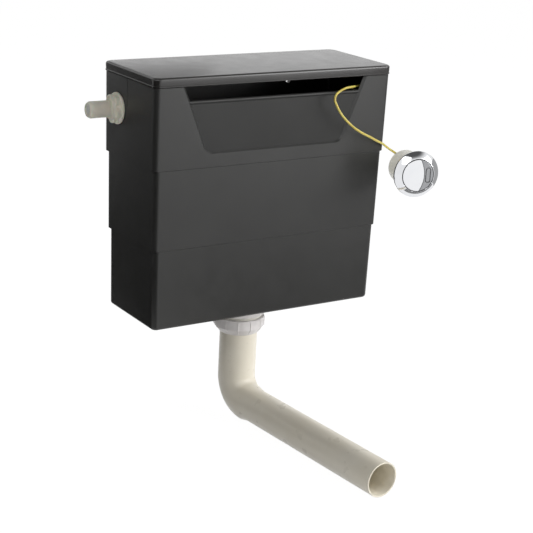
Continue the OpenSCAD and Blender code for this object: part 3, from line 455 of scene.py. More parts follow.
# Tank and lid share their outline
tank = {
    "width": 346, "depth": 137, "top": 38, "foot": -278, "rim": 26.1,
    "steps": (-75, -175.5), "sideStep": 2.5, "frontStep": 0.7, "backStep": 2.7,
    "lean": 0.01, "overhang": 1.1, "wall": 3, "floor": 3.5, "corner": 7.5, "footRound": 4,
    "stepHeight": 0.9, "rimEase": 0.6, "rimIn": 0.5, "collarInset": 1.9, "collarTop": 35.5,
    "outletHole": 30.6, "fixing": 100, "fixingHole": 4, "pad": 12, "padLength": 6, "edge": 0.6,
    "seam": {"size": (1.2, 0.7, 34), "y": -64.8, "z": 9, "edge": 0.2},
}


def tierAt(tier, z, wall=0.0):
    # (height, half width, front, back) of one tier
    inset = tank["overhang"] + tank["lean"] * (tank["rim"] - z) + wall
    return (
        z,
        tank["width"] / 2 - inset - tank["sideStep"] * tier,
        -tank["depth"] + inset + tank["frontStep"] * tier,
        -inset - tank["backStep"] * tier,
    )


def plainAt(z, inset):
    return z, tank["width"] / 2 - inset, -tank["depth"] + inset, -inset


def stacked(levels, corner, footRound=0.0):
    # a round-cornered box over the first two levels, then its top face carried up level by level
    bm = bmesh.new()
    bmesh.ops.create_cube(bm, size=2)
    for v in bm.verts:
        z, half, front, back = levels[0] if v.co.z < 0 else levels[1]
        v.co = (half * v.co.x, (back if v.co.y > 0 else front), z)
    uprights = [e for e in bm.edges if abs(e.verts[0].co.z - e.verts[1].co.z) > 1e-4]
    rounded(bm, uprights, corner, 10)
    if footRound:
        foot = [e for e in bm.edges if all(abs(v.co.z - levels[0][0]) < 1e-3 for v in e.verts)]
        bmesh.ops.bevel(bm, geom=foot, offset=footRound, segments=6, profile=0.5,
                        affect="EDGES", material=-1, clamp_overlap=True)
    face = max(bm.faces, key=lambda f: (round(f.calc_center_median().z, 3), f.calc_area()))
    for old, new in zip(levels[1:], levels[2:]):
        raised = bmesh.ops.extrude_face_region(bm, geom=[face])["geom"]
        bmesh.ops.delete(bm, geom=[face], context="FACES_ONLY")
        face = faceOf(raised)
        for v in face.verts:
            v.co.x *= new[1] / old[1]
            v.co.y = new[2] + (v.co.y - old[2]) * (new[3] - new[2]) / (old[3] - old[2])
            v.co.z = new[0]
    return bm


lid = {
    "skirt": 26.4, "edge": 3, "edgeIn": 0.15, "foot": 0.35, "bead": 1.6, "beadOut": 0.37, "beadTop": 0.5,
    "wall": 1.25, "thick": 2.5,
}


def makeLid():
    top = tank["top"]
    low = lid["skirt"]
    levels = [
        plainAt(low, lid["foot"]), plainAt(low + lid["foot"], 0), plainAt(low + lid["bead"], 0),
        plainAt(low + lid["bead"] + lid["beadTop"], lid["beadOut"]),
    ]
    for degrees in range(0, 91, 15):  # the rounded upper edge
        angle = math.radians(degrees)
        levels.append(plainAt(
            top - lid["edge"] * (1 - math.sin(angle)),
            lid["edgeIn"] + lid["edge"] * (1 - math.cos(angle)),
        ))
    bm = stacked(levels, tank["corner"])
    under = min(bm.faces, key=lambda f: f.calc_center_median().z - f.calc_area() * 1e-6)
    bmesh.ops.inset_region(bm, faces=[under], thickness=lid["wall"], use_even_offset=True)
    raised = bmesh.ops.extrude_face_region(bm, geom=[under])["geom"]
    bmesh.ops.delete(bm, geom=[under], context="FACES_ONLY")
    bmesh.ops.translate(bm, vec=(0, 0, top - lid["thick"] - low), verts=vertsOf(raised))
    finishPiece(bm, "lidCover", "lid", "lid_polypropylene", ["lid"])


makeLid()
print("lid made")

recess = {
    "topHalf": 134, "footHalf": 100.5, "foot": -59, "depth": 3, "corner": 7,
    "cutBack": 1.4, "lipCentre": 5.8, "lip": 2.6, "lipHalf": 124, "reachUp": 46, "frame": 3, "slotReach": 10,
}


def recessFace(bm, y, grow=0.0):
    # the recess's outline, grown outwards, as one upright face
    lean = (recess["topHalf"] - recess["footHalf"]) / (tank["rim"] - recess["foot"])
    high = recess["topHalf"] + lean * (recess["reachUp"] - tank["rim"]) + grow
    low = recess["footHalf"] + grow
    foot = recess["foot"] - grow
    corners = [(-low, foot), (low, foot), (high, recess["reachUp"]), (-high, recess["reachUp"])]
    verts = [bm.verts.new((x, y, z)) for x, z in corners]
    bm.faces.new(verts)
    rounded(bm, verts[:2], (recess["corner"] - grow * 0.5) * recess["cutBack"], 8, "VERTICES")
    return next(iter(bm.faces))


def deepened(bm, face, y):
    # carries an upright face on to another depth, and leaves the first where it was
    raised = bmesh.ops.extrude_face_region(bm, geom=[face])["geom"]
    for v in vertsOf(raised):
        v.co.y = y
    return faceOf(raised)


def keptSide(bm, height, above):
    # keeps what is above or below a height, and closes the cut
    geom = bm.verts[:] + bm.edges[:] + bm.faces[:]
    bmesh.ops.bisect_plane(bm, geom=geom, plane_co=(0, 0, height), plane_no=(0, 0, 1),
                           clear_inner=above, clear_outer=not above)
    bmesh.ops.holes_fill(bm, edges=[e for e in bm.edges if e.is_boundary])
    return bm


def recessTool(front):
    # the sloped pocket that is cut into the tank's front
    bm = bmesh.new()
    face = deepened(bm, recessFace(bm, front - 5), front)
    bmesh.ops.inset_region(bm, faces=[face], thickness=recess["depth"], use_even_offset=True)
    for v in face.verts:
        v.co.y = front + recess["depth"]
    return bm


def recessSlab(near, far, grow, above):
    # the part of the recess above or below the lip, between two depths
    bm = bmesh.new()
    deepened(bm, recessFace(bm, near, grow), far)
    return keptSide(bm, recess["lipCentre"], above)


inlet = {
    "y": -39.3, "z": -15, "seat": -171.189, "inner": -167.789, "tail": 10.475, "bore": 6,
    "tip": -212.189, "nutRadius": 19.8, "nutFace": 9.5, "nutLength": 13, "lobes": 5, "lobe": 7,
    "lobeOut": 11.3, "lobeFrom": 3, "lobeTo": 11, "seatRadius": 21, "seatIn": 3.2, "hole": 0.5,
    "pitch": 1.814, "thread": 0.22, "threadFrom": 5, "grooveWidth": 1.5, "grooveDepth": 0.7,
    "flange": -165.289, "flangeOut": 6.5, "flangeThick": 4,
    "housing": -161.289, "housingEnd": -131.289, "housingRadius": 15, "neck": 13, "neckLength": 2.5,
    "chamber": 11.5, "chamberDepth": 24, "nozzle": 5.5, "jet": 3, "jetDepth": 28,
    "spout": 8, "spoutBore": 5.5, "spoutTop": -13, "spoutFoot": -29, "spoutIn": 15,
}


def makeTank():
    high, low = tank["steps"]
    ease = tank["stepHeight"] / 2
    levels = [
        tierAt(2, tank["foot"]), tierAt(2, low - ease), tierAt(1, low + ease),
        tierAt(1, high - ease), tierAt(0, high + ease), tierAt(0, tank["rim"] - tank["rimEase"]),
        plainAt(tank["rim"], tank["overhang"] + tank["rimIn"]),
        plainAt(tank["rim"], tank["collarInset"]), plainAt(tank["collarTop"], tank["collarInset"]),
    ]
    shell = stacked(levels, tank["corner"], footRound=tank["footRound"])
    wall = tank["wall"]
    inside = [
        tierAt(2, tank["foot"] + tank["floor"], wall), tierAt(2, low + wall, wall),
        tierAt(1, low + wall, wall), tierAt(1, high + wall, wall), tierAt(0, high + wall, wall),
        tierAt(0, tank["rim"], wall), plainAt(tank["top"] + past, tank["overhang"] + wall),
    ]
    hollow = stacked(inside, tank["corner"] - wall, footRound=tank["footRound"] - wall)
    front = -tank["depth"] + tank["overhang"]
    panel = front + recess["depth"]
    hollow = carved(hollow, [("DIFFERENCE", recessSlab(panel, panel + wall, wall, False))])
    lipY, lipZ = panel + wall / 2, recess["lipCentre"]
    hole = alongX(0, inlet["y"], inlet["z"])
    seam = bmesh.new()
    line = tank["seam"]
    side = -tank["width"] / 2 + tank["overhang"]
    addBlock(seam, line["size"], (side, line["y"], line["z"]), line["edge"])
    seatFrom = inlet["inner"] - inlet["seatIn"]
    work = [
        ("DIFFERENCE", hollow),
        ("DIFFERENCE", recessTool(front)),
        ("DIFFERENCE", seam),
        ("DIFFERENCE", recessSlab(panel - 0.5, front + recess["slotReach"], -recess["frame"], True)),
        ("UNION", rod(recess["lip"], -recess["lipHalf"], recess["lipHalf"], alongX(0, lipY, lipZ), 32)),
        ("UNION", rod(inlet["seatRadius"], seatFrom, inlet["inner"], hole)),
        ("DIFFERENCE", rod(inlet["seatRadius"], inlet["seat"] - past, inlet["seat"], hole)),
        ("DIFFERENCE", rod(inlet["tail"] + inlet["hole"], inlet["seat"] - 12, inlet["inner"] + 15, hole)),
        ("DIFFERENCE", rod(tank["outletHole"], tank["foot"] - past, tank["foot"] + 8, outletAxis, 96)),
    ]
    deep = tank["padLength"]
    for side in (-1, 1):
        place = alongY(side * tank["fixing"], 0, 0)
        pad = softened([(0, -deep), (tank["pad"], -deep, 0.6), (tank["pad"], 0, 0.6), (0, 0)])
        work.append(("UNION", turned(pad, place, 64)))
        work.append(("DIFFERENCE", rod(tank["fixingHole"], -deep - past, past, place, 48)))
    shell = carved(shell, work)
    piece = finishPiece(shell, "tankShell", "cistern", "charcoal_polypropylene", ["tank"], sharp=32)
    # the recess's face and its rolled lip take the darker copy, painted shade in the recess
    piece.data.materials.append(paints["recess_painted_shade"])
    for face in piece.data.polygons:
        fromLip = math.hypot(face.center.y - lipY * mm, face.center.z - lipZ * mm)
        onPanel = face.normal.y < -0.99 and abs(face.center.y - panel * mm) < 0.2 * mm
        if onPanel or fromLip < (recess["lip"] + 0.1) * mm:
            face.material_index = 1
    softEdges(piece, tank["edge"], 34).harden_normals = True


makeTank()
print("tank made")


def makeInletNut():
    place = alongX(inlet["seat"] - inlet["nutLength"], inlet["y"], inlet["z"])
    bore = inlet["tail"] + runGap
    wide, face, length = inlet["nutRadius"], inlet["nutFace"], inlet["nutLength"]
    nut = turned(softened([
        (0, 0), (bore + 1.6, 0, 0.4), (bore + 4.2, face), (wide, face, 1.7), (wide, length, 1.2),
        (0, length),
    ]), place)
    low, high = inlet["lobeFrom"], inlet["lobeTo"]
    lobeSide = softened([(0, low), (inlet["lobe"], low, 2.4), (inlet["lobe"], high), (0, high)])
    work = []
    for k in range(inlet["lobes"]):  # finger lobes
        lobe = turned(lobeSide, steps=48)
        turn = Matrix.Rotation(math.radians(360 / inlet["lobes"] * k), 4, "Z")
        out = turn @ Matrix.Translation((inlet["lobeOut"], 0, 0))
        bmesh.ops.transform(lobe, matrix=place @ out, verts=lobe.verts[:])
        work.append(("UNION", lobe))
    work.append(("DIFFERENCE", rod(bore, -past, length + past, place, 96)))
    piece = finishPiece(carved(nut, work), "inletNut", "cistern", "natural_nylon", ["inlet_backnut"])
    softEdges(piece, 0.5, 38)


def makeInletValve():
    tip, tail, pitch = inlet["tip"], inlet["tail"], inlet["pitch"]
    flange, end = inlet["flange"] - tip, inlet["housingEnd"] - tip
    groove = inlet["seat"] - inlet["nutLength"] - 2 - tip
    grooveEnd, waist = groove + inlet["grooveWidth"], tail - inlet["grooveDepth"]
    outline = [(inlet["bore"], 0), (tail - 1.7, 0, 0.5), (tail, 3)]
    z = inlet["threadFrom"]
    root = tail - inlet["thread"]
    while z + pitch < groove:  # thread, drawn as rings at its real pitch
        outline += [(tail, z), (root, z + pitch * 0.4), (root, z + pitch * 0.55), (tail, z + pitch * 0.95)]
        z += pitch
    wide, thick = tail + inlet["flangeOut"], inlet["flangeThick"]
    neck, face = inlet["neck"], end - inlet["neckLength"]
    floor = end - inlet["chamberDepth"]
    outline += [
        (tail, groove), (waist, groove, 0.2), (waist, grooveEnd, 0.2), (tail, grooveEnd),
        (tail, flange), (wide, flange, 0.5), (wide, flange + thick, 0.5),
        (inlet["housingRadius"], flange + thick), (inlet["housingRadius"], end, 0.4),
        (neck, end), (neck, face), (inlet["chamber"], face), (inlet["chamber"], floor),
        (inlet["nozzle"], floor), (inlet["nozzle"], face), (inlet["jet"], face),
        (inlet["jet"], end - inlet["jetDepth"]), (inlet["bore"], end - inlet["jetDepth"]),
    ]
    bm = turned(softened(outline, 3), alongX(tip, inlet["y"], inlet["z"]))
    foot, top = inlet["spoutFoot"], inlet["spoutTop"]
    spout = softened([(inlet["spoutBore"], foot), (inlet["spout"], foot, 0.4), (inlet["spout"], top),
                      (inlet["spoutBore"], top)])
    place = Matrix.Translation((inlet["housing"] + inlet["spoutIn"], inlet["y"], inlet["z"]))
    addTo(bm, turned(spout, place, 64))
    finishPiece(bm, "inletValve", "cistern", "natural_nylon", ["fill_valve_body"])


makeInletNut()
makeInletValve()
print("inlet made")

outlet = {
    "spigot": 29.8, "backNutTop": -278, "backNut": 16, "backNutWall": 3.35, "backNutFlange": 5.45,
    "flangeThick": 4, "couplingTop": -298, "coupling": 22, "couplingRadius": 33.5, "ledge": -310.5,
    "play": 0.15, "taper": 8.8, "ribs": 12, "rib": 0.6, "ribWidth": 2, "ribTurn": 27, "pipe": 25,
}


def makeOutletNuts():
    bore = outlet["spigot"] + runGap
    top = outlet["backNutTop"]
    low = top - outlet["backNut"]
    wall, flange = bore + outlet["backNutWall"], bore + outlet["backNutFlange"]
    under = top - outlet["flangeThick"]
    back = turned(softened([
        (bore, low), (wall, low, 0.6), (wall, under, 0.5), (flange, under, 0.8), (flange, top, 0.3),
        (bore, top),
    ]), outletAxis, 128)
    finishPiece(back, "outletBackNut", "cistern", "coupling_white", ["tank_backnut"])

    top = outlet["couplingTop"]
    low = top - outlet["coupling"]
    wide = outlet["couplingRadius"]
    narrow = outlet["pipe"] + 1.4
    bore += outlet["play"]
    nut = turned(softened([
        (bore, top), (wide, top, 0.9), (wide, low + outlet["taper"], 2.5), (narrow, low, 0.4),
        (narrow - 1, low), (narrow - 1, outlet["ledge"]), (bore, outlet["ledge"]),
    ]), outletAxis, 128)
    rise = outlet["rib"]
    ribSide = softened([
        (wide - 1.5, top - 1), (wide, top - 1), (wide + rise, top - 2.5, 1), (wide + rise, low + 8.3, 2.5),
        (narrow + 0.1 + rise, low + 0.8), (narrow - 0.4, low + 0.8), (wide - 1.5, low + 8),
    ])
    halfRib = outlet["ribWidth"] / 2
    for k in range(outlet["ribs"]):  # grip ribs
        rib = bmesh.new()
        face = rib.faces.new([rib.verts.new((p[0], -halfRib, p[1])) for p in ribSide])
        for v in vertsOf(bmesh.ops.extrude_face_region(rib, geom=[face])["geom"]):
            v.co.y = halfRib
        outer = [e for e in rib.edges if abs(e.verts[0].co.y - e.verts[1].co.y) < 0.1
                 and min(v.co.x for v in e.verts) > narrow and e.calc_face_angle(0) > 1]
        rounded(rib, outer, 0.35, 2)
        angle = math.radians(360 / outlet["ribs"] * k + outlet["ribTurn"])
        turn = outletAxis @ Matrix.Rotation(angle, 4, "Z")
        bmesh.ops.transform(rib, matrix=turn, verts=rib.verts[:])
        bmesh.ops.recalc_face_normals(rib, faces=rib.faces[:])
        addTo(nut, rib)
    finishPiece(nut, "couplingNut", "cistern", "coupling_white", ["coupling_nut"])


makeOutletNuts()
print("outlet nuts made")

pipe = {
    "start": -296, "leg": -414, "bend": 32, "radius": 25, "end": 22.5, "wall": 2,
    "taper": 14, "reach": 305, "turn": 4,
}


def makePipe():
    bm = bmesh.new()
    ring = bmesh.ops.create_circle(bm, cap_ends=False, radius=pipe["radius"], segments=96)["verts"]
    bmesh.ops.translate(bm, vec=(0, 0, pipe["start"]), verts=ring)

    def grow(shift, scale=1.0, about=Vector()):
        # carries the open end on in a straight line
        nonlocal ring
        edges = [e for e in bm.edges if all(v in set(ring) for v in e.verts)]
        ring = vertsOf(bmesh.ops.extrude_edge_only(bm, edges=edges)["geom"])
        for v in ring:
            v.co = about + (v.co - about) * scale + Vector(shift)

    centreHeight = pipe["leg"] + pipe["bend"]
    for k in range(3):
        grow((0, 0, (centreHeight - pipe["start"]) / 3))
    edges = [e for e in bm.edges if all(v in set(ring) for v in e.verts)]
    swung = bmesh.ops.spin(bm, geom=ring + edges, cent=(0, -pipe["bend"], centreHeight),
                           axis=(1, 0, 0), angle=math.radians(-90), steps=20)
    ring = vertsOf(swung["geom_last"])
    taper = pipe["taper"]
    share = (pipe["end"] / pipe["radius"]) ** 0.5
    for k in range(2):  # from the wide leg to the narrow one
        middle = Vector((0, ring[0].co.y, pipe["leg"]))
        grow((0, -taper / 2, 0), share, middle)
    run = pipe["reach"] - pipe["bend"] - taper
    for k in range(6):
        grow((0, -run / 6, 0))
    bmesh.ops.recalc_face_normals(bm, faces=bm.faces[:])
    upper = max(bm.faces, key=lambda f: f.calc_center_median().z)
    outward = upper.calc_center_median()
    if upper.normal.dot(Vector((outward.x, outward.y, 0))) < 0:
        bmesh.ops.reverse_faces(bm, faces=bm.faces[:])
    bmesh.ops.solidify(bm, geom=bm.faces[:], thickness=pipe["wall"])
    mouths = [e for e in bm.edges if e.calc_face_angle(0) > math.radians(60)]
    rounded(bm, mouths, 0.45, 3)
    turn = outletAxis @ Matrix.Rotation(math.radians(pipe["turn"]), 4, "Z")
    bmesh.ops.transform(bm, matrix=turn, verts=bm.verts[:])
    finishPiece(bm, "flushPipe", "pipe", "pipe_abs", ["flush_pipe"], sharp=50)


makePipe()
print("pipe made")

button = {
    "at": (175, -200, -92), "yaw": -17, "bezel": 30.2, "bore": 21.35, "dome": 6.85, "rim": 1.5,
    "bezelFoot": -0.4, "crownFlat": 0.6, "crown": 0.28, "crownSteps": 16,
    "key": 20.55, "keyTop": 7.2, "keyUnder": 2, "keyEdge": 0.35,
    "splitX": -29.5, "split": 38, "gap": 0.25,
    "oval": {"radius": 3.6, "half": 6.4, "fromSplit": 5, "width": 1.2, "depth": 0.8},
    "barrel": 22.2, "wall": 2, "length": 43, "collar": 3, "collarFrom": -3.5, "mouthDepth": 6.5,
    "shelf": -13, "shelfThick": 2.5, "lug": (3.6, 7, 18.5), "lugIn": 3.2, "lugUp": 5.75,
    "capThick": 2, "capWall": 2, "cableHole": 4.05, "cableAt": (-6, 13.5),
    "fullStem": (-6, -12), "halfStem": (12.5, -8.5), "stem": 2.5, "stemLow": -22.7, "halfStemUp": 4,
    "rocker": -29,
}
buttonPlace = (
    Matrix.Translation(button["at"])
    @ Matrix.Rotation(math.radians(button["yaw"]), 4, "Z")
    @ Matrix.Rotation(math.radians(90), 4, "X")
)


def makeBezel():
    bore, dome, flat = button["bore"], button["dome"], button["crownFlat"]
    edge, rim = button["bezel"], -button["rim"]
    outline = [(bore, rim), (edge, rim), (edge, button["bezelFoot"])]
    wide = edge - bore - flat
    for k in range(button["crownSteps"] + 1):  # a cone with a light crown, from the rim up to the bore
        out = 1 - k / button["crownSteps"]
        fall = (1 - button["crown"]) * out + button["crown"] * out ** 2
        outline.append((bore + flat + wide * out, dome * (1 - fall)))
    outline += [(bore + 0.3, dome - 0.05), (bore + 0.05, dome - 0.4), (bore, dome - 0.8)]
    ring = turned(outline, buttonPlace, 160)
    finishPiece(ring, "bezelRing", "cistern", "chromed_abs", ["bezel"], sharp=45)


def keyDisc(radius, x, low, high):
    return rod(radius, low, high, Matrix.Translation((x, 0, 0)), 160)


def finishKey(bm, name, body, finish, standsFor, stem, stemLow):
    # rounds the key's face, adds its stem and puts it in the bezel
    rims = [e for e in bm.edges if e.calc_face_angle(0) > math.radians(50)
            and min(v.co.z for v in e.verts) > button["keyTop"] - 0.1]
    rounded(bm, rims, button["keyEdge"], 3)
    thick, high = button["stem"], button["keyUnder"] + 1
    post = softened([(0, stemLow), (thick, stemLow, 0.5), (thick, high), (0, high)])
    addTo(bm, turned(post, Matrix.Translation((*stem, 0)), 48))
    bmesh.ops.transform(bm, matrix=buttonPlace, verts=bm.verts[:])
    return finishPiece(bm, name, body, finish, standsFor, sharp=12)


def ovalGroove(oval, x):
    # a ring of the oval's shape, from the groove's bottom to above the key
    groove = bmesh.new()
    bmesh.ops.create_circle(groove, cap_ends=True, radius=oval["radius"], segments=64)
    for v in groove.verts:
        v.co.y += oval["half"] if v.co.y > 0 else -oval["half"]
        v.co.x += x
        v.co.z = button["keyTop"] - oval["depth"]
    face = groove.faces[:][0]
    bmesh.ops.inset_region(groove, faces=[face], thickness=oval["width"], use_even_offset=True,
                           use_boundary=True)
    bmesh.ops.delete(groove, geom=[face], context="FACES_ONLY")
    raised = bmesh.ops.extrude_face_region(groove, geom=groove.faces[:])["geom"]
    bmesh.ops.translate(groove, vec=(0, 0, 1), verts=vertsOf(raised))
    return groove


def makeKeys():
    top, under, split = button["keyTop"], button["keyUnder"], button["split"]
    full = carved(keyDisc(button["key"], 0, under, top), [
        ("INTERSECT", keyDisc(split - button["gap"], button["splitX"], under - 1, top + 1)),
    ])
    finishKey(full, "fullKey", "full_button", "chromed_abs", ["full_button"], button["fullStem"],
              button["stemLow"])
    oval = button["oval"]
    middle = button["splitX"] + split + oval["fromSplit"]
    half = carved(keyDisc(button["key"], 0, under, top), [
        ("DIFFERENCE", keyDisc(split + button["gap"], button["splitX"], under - 1, top + 1)),
        ("DIFFERENCE", ovalGroove(oval, middle)),
    ])
    key = finishKey(half, "halfKey", "half_button", "satin_chrome", ["half_button"], button["halfStem"],
                    button["stemLow"] + button["halfStemUp"])
    # painted shade on the groove's walls and bottom
    key.data.materials.append(paints["engraving_painted_shade"])
    flat = buttonPlace.inverted()
    for part in key.data.polygons:
        here = flat @ (part.center / mm)
        reach = math.hypot(here.x - middle, max(abs(here.y) - oval["half"], 0))
        inGroove = oval["radius"] - oval["width"] - 0.2 < reach < oval["radius"] + 0.2
        if inGroove and top - oval["depth"] - 0.05 < here.z < top - 0.1:
            part.material_index = 1


def makeBarrel():
    out, wall, shelf = button["barrel"], button["wall"], button["shelf"]
    bore = out - wall
    mouth = button["key"] + 0.25
    collar, step, lip = out + button["collar"], button["collarFrom"], -button["rim"]
    low, under = button["capThick"] - button["length"], shelf - button["shelfThick"]
    bm = turned(softened([
        (bore, low), (out, low), (out, step, 0.4), (collar, step, 0.5), (collar, lip), (mouth, lip),
        (mouth, -button["mouthDepth"]), (bore, -button["mouthDepth"]), (bore, shelf), (0, shelf),
        (0, under), (bore, under),
    ]), steps=128)
    tools = []
    for stem in (button["fullStem"], button["halfStem"]):
        place = Matrix.Translation((*stem, 0))
        tools.append(("DIFFERENCE", rod(button["stem"] + runGap, shelf - 5, shelf + past, place, 32)))
    bm = carved(bm, tools)
    for side in (-1, 1):  # lugs for the rocker's pin
        at = (side * (bore - button["lugIn"]), 0, button["rocker"] + button["lugUp"])
        addBlock(bm, button["lug"], at, 0.3)
    bmesh.ops.transform(bm, matrix=buttonPlace, verts=bm.verts[:])
    finishPiece(bm, "buttonBarrel", "cistern", "barrel_abs", ["button_barrel"])

    end, plug = -button["length"], bore - runGap
    face, ring = end + button["capThick"], bore - button["capWall"]
    cap = turned(softened([
        (0, end), (out, end, 0.8), (out, face), (plug, face), (plug, face + 2), (ring, face + 2),
        (ring, face), (0, face),
    ]), steps=128)
    hole = rod(button["cableHole"], end - 1, end + 5, Matrix.Translation((*button["cableAt"], 0)), 32)
    cap = carved(cap, [("DIFFERENCE", hole)])
    bmesh.ops.transform(cap, matrix=buttonPlace, verts=cap.verts[:])
    finishPiece(cap, "barrelCap", "cistern", "barrel_abs", ["barrel_cap"])


makeBezel()
makeKeys()
makeBarrel()
print("button made")

# Metres from here on
studio = {
    "floor": -0.4405, "paper": "#f2f2f2", "paperGlow": 0.86, "glow": 1.12,
    "key": {"power": 38, "size": (1.5, 1.5), "at": (1.6, -1.7, 0.7)},
    "fill": {"power": 8.5, "size": (1.2, 1.2), "at": (-1.1, -1.2, 1.4)},
    "strip": {"power": 4.5, "size": (1.4, 0.5), "at": (0.95, -1.6, 0.1)},
    "aim": (0, -0.07, -0.15),
    "spot": {"power": 38, "at": (-1.3, -0.75, 0.1), "aim": (0.175, -0.175, -0.092), "cone": 5,
             "blend": 0.5, "radius": 0.03},
    "sky": (0.12, 0.42), "skySpan": 0.9, "ceiling": 0.1, "ceilingFrom": 0.66, "ceilingTo": 0.88,
}
low = studio["floor"] + 0.003
# Sheets round the object that only reflections see
cards = {
    # black, on the floor at the left, for the tank's dark side
    "blackCard": {"colour": "#161616", "sheets": [
        [(-0.2, 0.0, low), (-0.2, 1.0, low), (-1.9, 1.0, low), (-1.9, 0.0, low)],
    ]},
    # lighter, beyond it on the floor and upright, for the lid's left edge
    "softCard": {"colour": "#8a8a8a", "sheets": [
        [(-0.2, 1.0, low), (-0.2, 1.5, low), (-1.9, 1.5, low), (-1.9, 1.0, low)],
        [(-0.6, 1.5, low), (-1.9, 1.5, low), (-1.9, 1.5, 0.35), (-0.6, 1.5, 0.35)],
    ]},
    # dim light from the right, for the bezel
    "greyCard": {"colour": "#ffffff", "glow": 0.42, "sheets": [
        [(0.8, -0.9, low), (0.8, 0.6, low), (0.8, 0.6, 0.15), (0.8, -0.9, 0.15)],
    ]},
    # black, folded round the tank's front left corner
    "cornerCard": {"colour": "#101010", "sheets": [
        [(-0.176, -0.2, -0.33), (-0.28, -0.2, -0.33), (-0.28, -0.2, 0.05), (-0.176, -0.2, 0.05)],
        [(-0.28, -0.2, -0.33), (-0.28, -0.1, -0.33), (-0.28, -0.1, 0.05), (-0.28, -0.2, 0.05)],
    ]},
    # grey, on the floor in front, for the tank's foot
    "floorCard": {"colour": "#a0a0a0", "sheets": [
        [(0.05, -0.25, low), (0.75, -0.25, low), (0.75, -1.05, low), (0.05, -1.05, low)],
    ]},
    # pale, upright behind, for the lid's top
    "backCard": {"colour": "#cecece", "sheets": [
        [(-0.2, 1.5, 0.36), (0.84, 1.5, 0.36), (0.84, 1.5, 0.95), (-0.2, 1.5, 0.95)],
    ]},
    # bright, beside it, for the lid's right half
    "farCard": {"colour": "#ffffff", "glow": 0.95, "sheets": [
        [(0.84, 1.5, 0.1), (2.2, 1.5, 0.1), (2.2, 1.5, 0.95), (0.84, 1.5, 0.95)],
    ]},
}


def turnTo(thing, aim):
    thing.rotation_euler = (Vector(aim) - thing.location).to_track_quat("-Z", "Y").to_euler()


def addLamp(name, look):
    lamp = bpy.data.lights.new(name, "AREA")
    lamp.energy = look["power"]
    lamp.shape = "RECTANGLE"
    lamp.size, lamp.size_y = look["size"]
    box = bpy.data.objects.new(name, lamp)
    bpy.context.scene.collection.objects.link(box)
    box.location = look["at"]
    turnTo(box, studio["aim"])


def addSpot(name, look):
    # a snooted lamp on one small thing
    lamp = bpy.data.lights.new(name, "SPOT")
    lamp.energy = look["power"]
    lamp.spot_size = math.radians(look["cone"])
    lamp.spot_blend = look["blend"]
    lamp.shadow_soft_size = look["radius"]
    snoot = bpy.data.objects.new(name, lamp)
    bpy.context.scene.collection.objects.link(snoot)
    snoot.location = look["at"]
    snoot.visible_glossy = False
    turnTo(snoot, look["aim"])


def addCard(name, look):
    # matt card, or lit from behind where it has a glow
    bm = bmesh.new()
    for sheet in look["sheets"]:
        bm.faces.new([bm.verts.new(p) for p in sheet])
    card = bpy.data.meshes.new(name)
    bm.to_mesh(card)
    bm.free()
    material, tree = freshMaterial(name)
    if "glow" in look:
        matt = addNode(tree, "ShaderNodeEmission",
                       values={"Color": fromHex(look["colour"]), "Strength": look["glow"]})
    else:
        matt = addNode(tree, "ShaderNodeBsdfDiffuse", values={"Color": fromHex(look["colour"])})
    addNode(tree, "ShaderNodeOutputMaterial", links={"Surface": matt.outputs[0]})
    card.materials.append(material)
    flag = bpy.data.objects.new(name, card)
    bpy.context.scene.collection.objects.link(flag)
    flag.visible_camera = flag.visible_diffuse = flag.visible_shadow = False


def larger(tree, first, second):
    return addNode(tree, "ShaderNodeMath", {"operation": "MAXIMUM"}, links={0: first, 1: second}).outputs[0]


def smoothStep(tree, source, span, ends):
    # a smooth step from one value to another, over a span of the source
    return addNode(tree, "ShaderNodeMapRange", {"interpolation_type": "SMOOTHSTEP"},
                   {"From Min": span[0], "From Max": span[1], "To Min": ends[0], "To Max": ends[1]},
                   {"Value": source}).outputs["Result"]


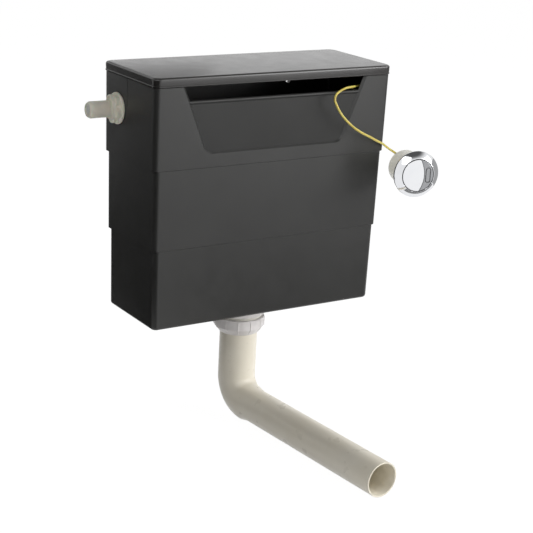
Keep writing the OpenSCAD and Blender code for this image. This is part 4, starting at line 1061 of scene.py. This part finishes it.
def makeFloor():
    # matt white paper: keeps a light shadow, and reads white to the camera and in reflections
    mesh = bpy.data.meshes.new("studioFloor")
    bm = bmesh.new()
    bmesh.ops.create_grid(bm, x_segments=1, y_segments=1, size=9)
    bmesh.ops.translate(bm, vec=(0, 0, studio["floor"]), verts=bm.verts[:])
    bm.to_mesh(mesh)
    bm.free()
    floor = bpy.data.objects.new("studioFloor", mesh)
    bpy.context.scene.collection.objects.link(floor)
    material, tree = freshMaterial("studioPaper")
    ray = addNode(tree, "ShaderNodeLightPath").outputs
    seen = larger(tree, larger(tree, ray["Is Camera Ray"], ray["Is Glossy Ray"]), ray["Is Transmission Ray"])
    share = addNode(tree, "ShaderNodeMath", {"operation": "MULTIPLY"}, {1: studio["paperGlow"]}, {0: seen})
    paper = addNode(tree, "ShaderNodeBsdfDiffuse", values={"Color": fromHex(studio["paper"])})
    glow = addNode(tree, "ShaderNodeEmission", values={"Color": (1, 1, 1, 1), "Strength": studio["glow"]})
    both = addNode(tree, "ShaderNodeMixShader",
                   links={0: share.outputs[0], 1: paper.outputs[0], 2: glow.outputs[0]})
    addNode(tree, "ShaderNodeOutputMaterial", links={"Surface": both.outputs[0]})
    mesh.materials.append(material)


def makeSky():
    # white to the camera, dimmer on the object, and dark overhead in reflections
    world = bpy.data.worlds.new("studioWorld")
    bpy.context.scene.world = world
    world.use_nodes = True
    tree = world.node_tree
    tree.nodes.clear()
    ray = addNode(tree, "ShaderNodeLightPath").outputs
    way = addNode(tree, "ShaderNodeTexCoord")
    split = addNode(tree, "ShaderNodeSeparateXYZ", links={0: way.outputs["Generated"]}).outputs
    white = {"Color": (1, 1, 1, 1)}
    height = (studio["ceilingFrom"], studio["ceilingTo"])
    dark = smoothStep(tree, split["Z"], height, (1.0, studio["ceiling"]))
    side = smoothStep(tree, split["X"], (-studio["skySpan"], studio["skySpan"]), studio["sky"])
    sky = addNode(tree, "ShaderNodeBackground", values=white, links={"Strength": side})
    shine = addNode(tree, "ShaderNodeBackground", values=white, links={"Strength": dark})
    clear = addNode(tree, "ShaderNodeBackground", values={**white, "Strength": 1.0})
    glossy = larger(tree, ray["Is Glossy Ray"], ray["Is Transmission Ray"])
    lit = addNode(tree, "ShaderNodeMixShader", links={0: glossy, 1: sky.outputs[0], 2: shine.outputs[0]})
    seen = addNode(tree, "ShaderNodeMixShader",
                   links={0: ray["Is Camera Ray"], 1: lit.outputs[0], 2: clear.outputs[0]})
    addNode(tree, "ShaderNodeOutputWorld", links={"Surface": seen.outputs[0]})


bpy.context.scene.view_settings.view_transform = "Standard"
makeFloor()
makeSky()
for name in ("key", "fill", "strip"):
    addLamp(name + "Box", studio[name])
addSpot("buttonSpot", studio["spot"])
for name, look in cards.items():
    addCard(name, look)
print("studio made")
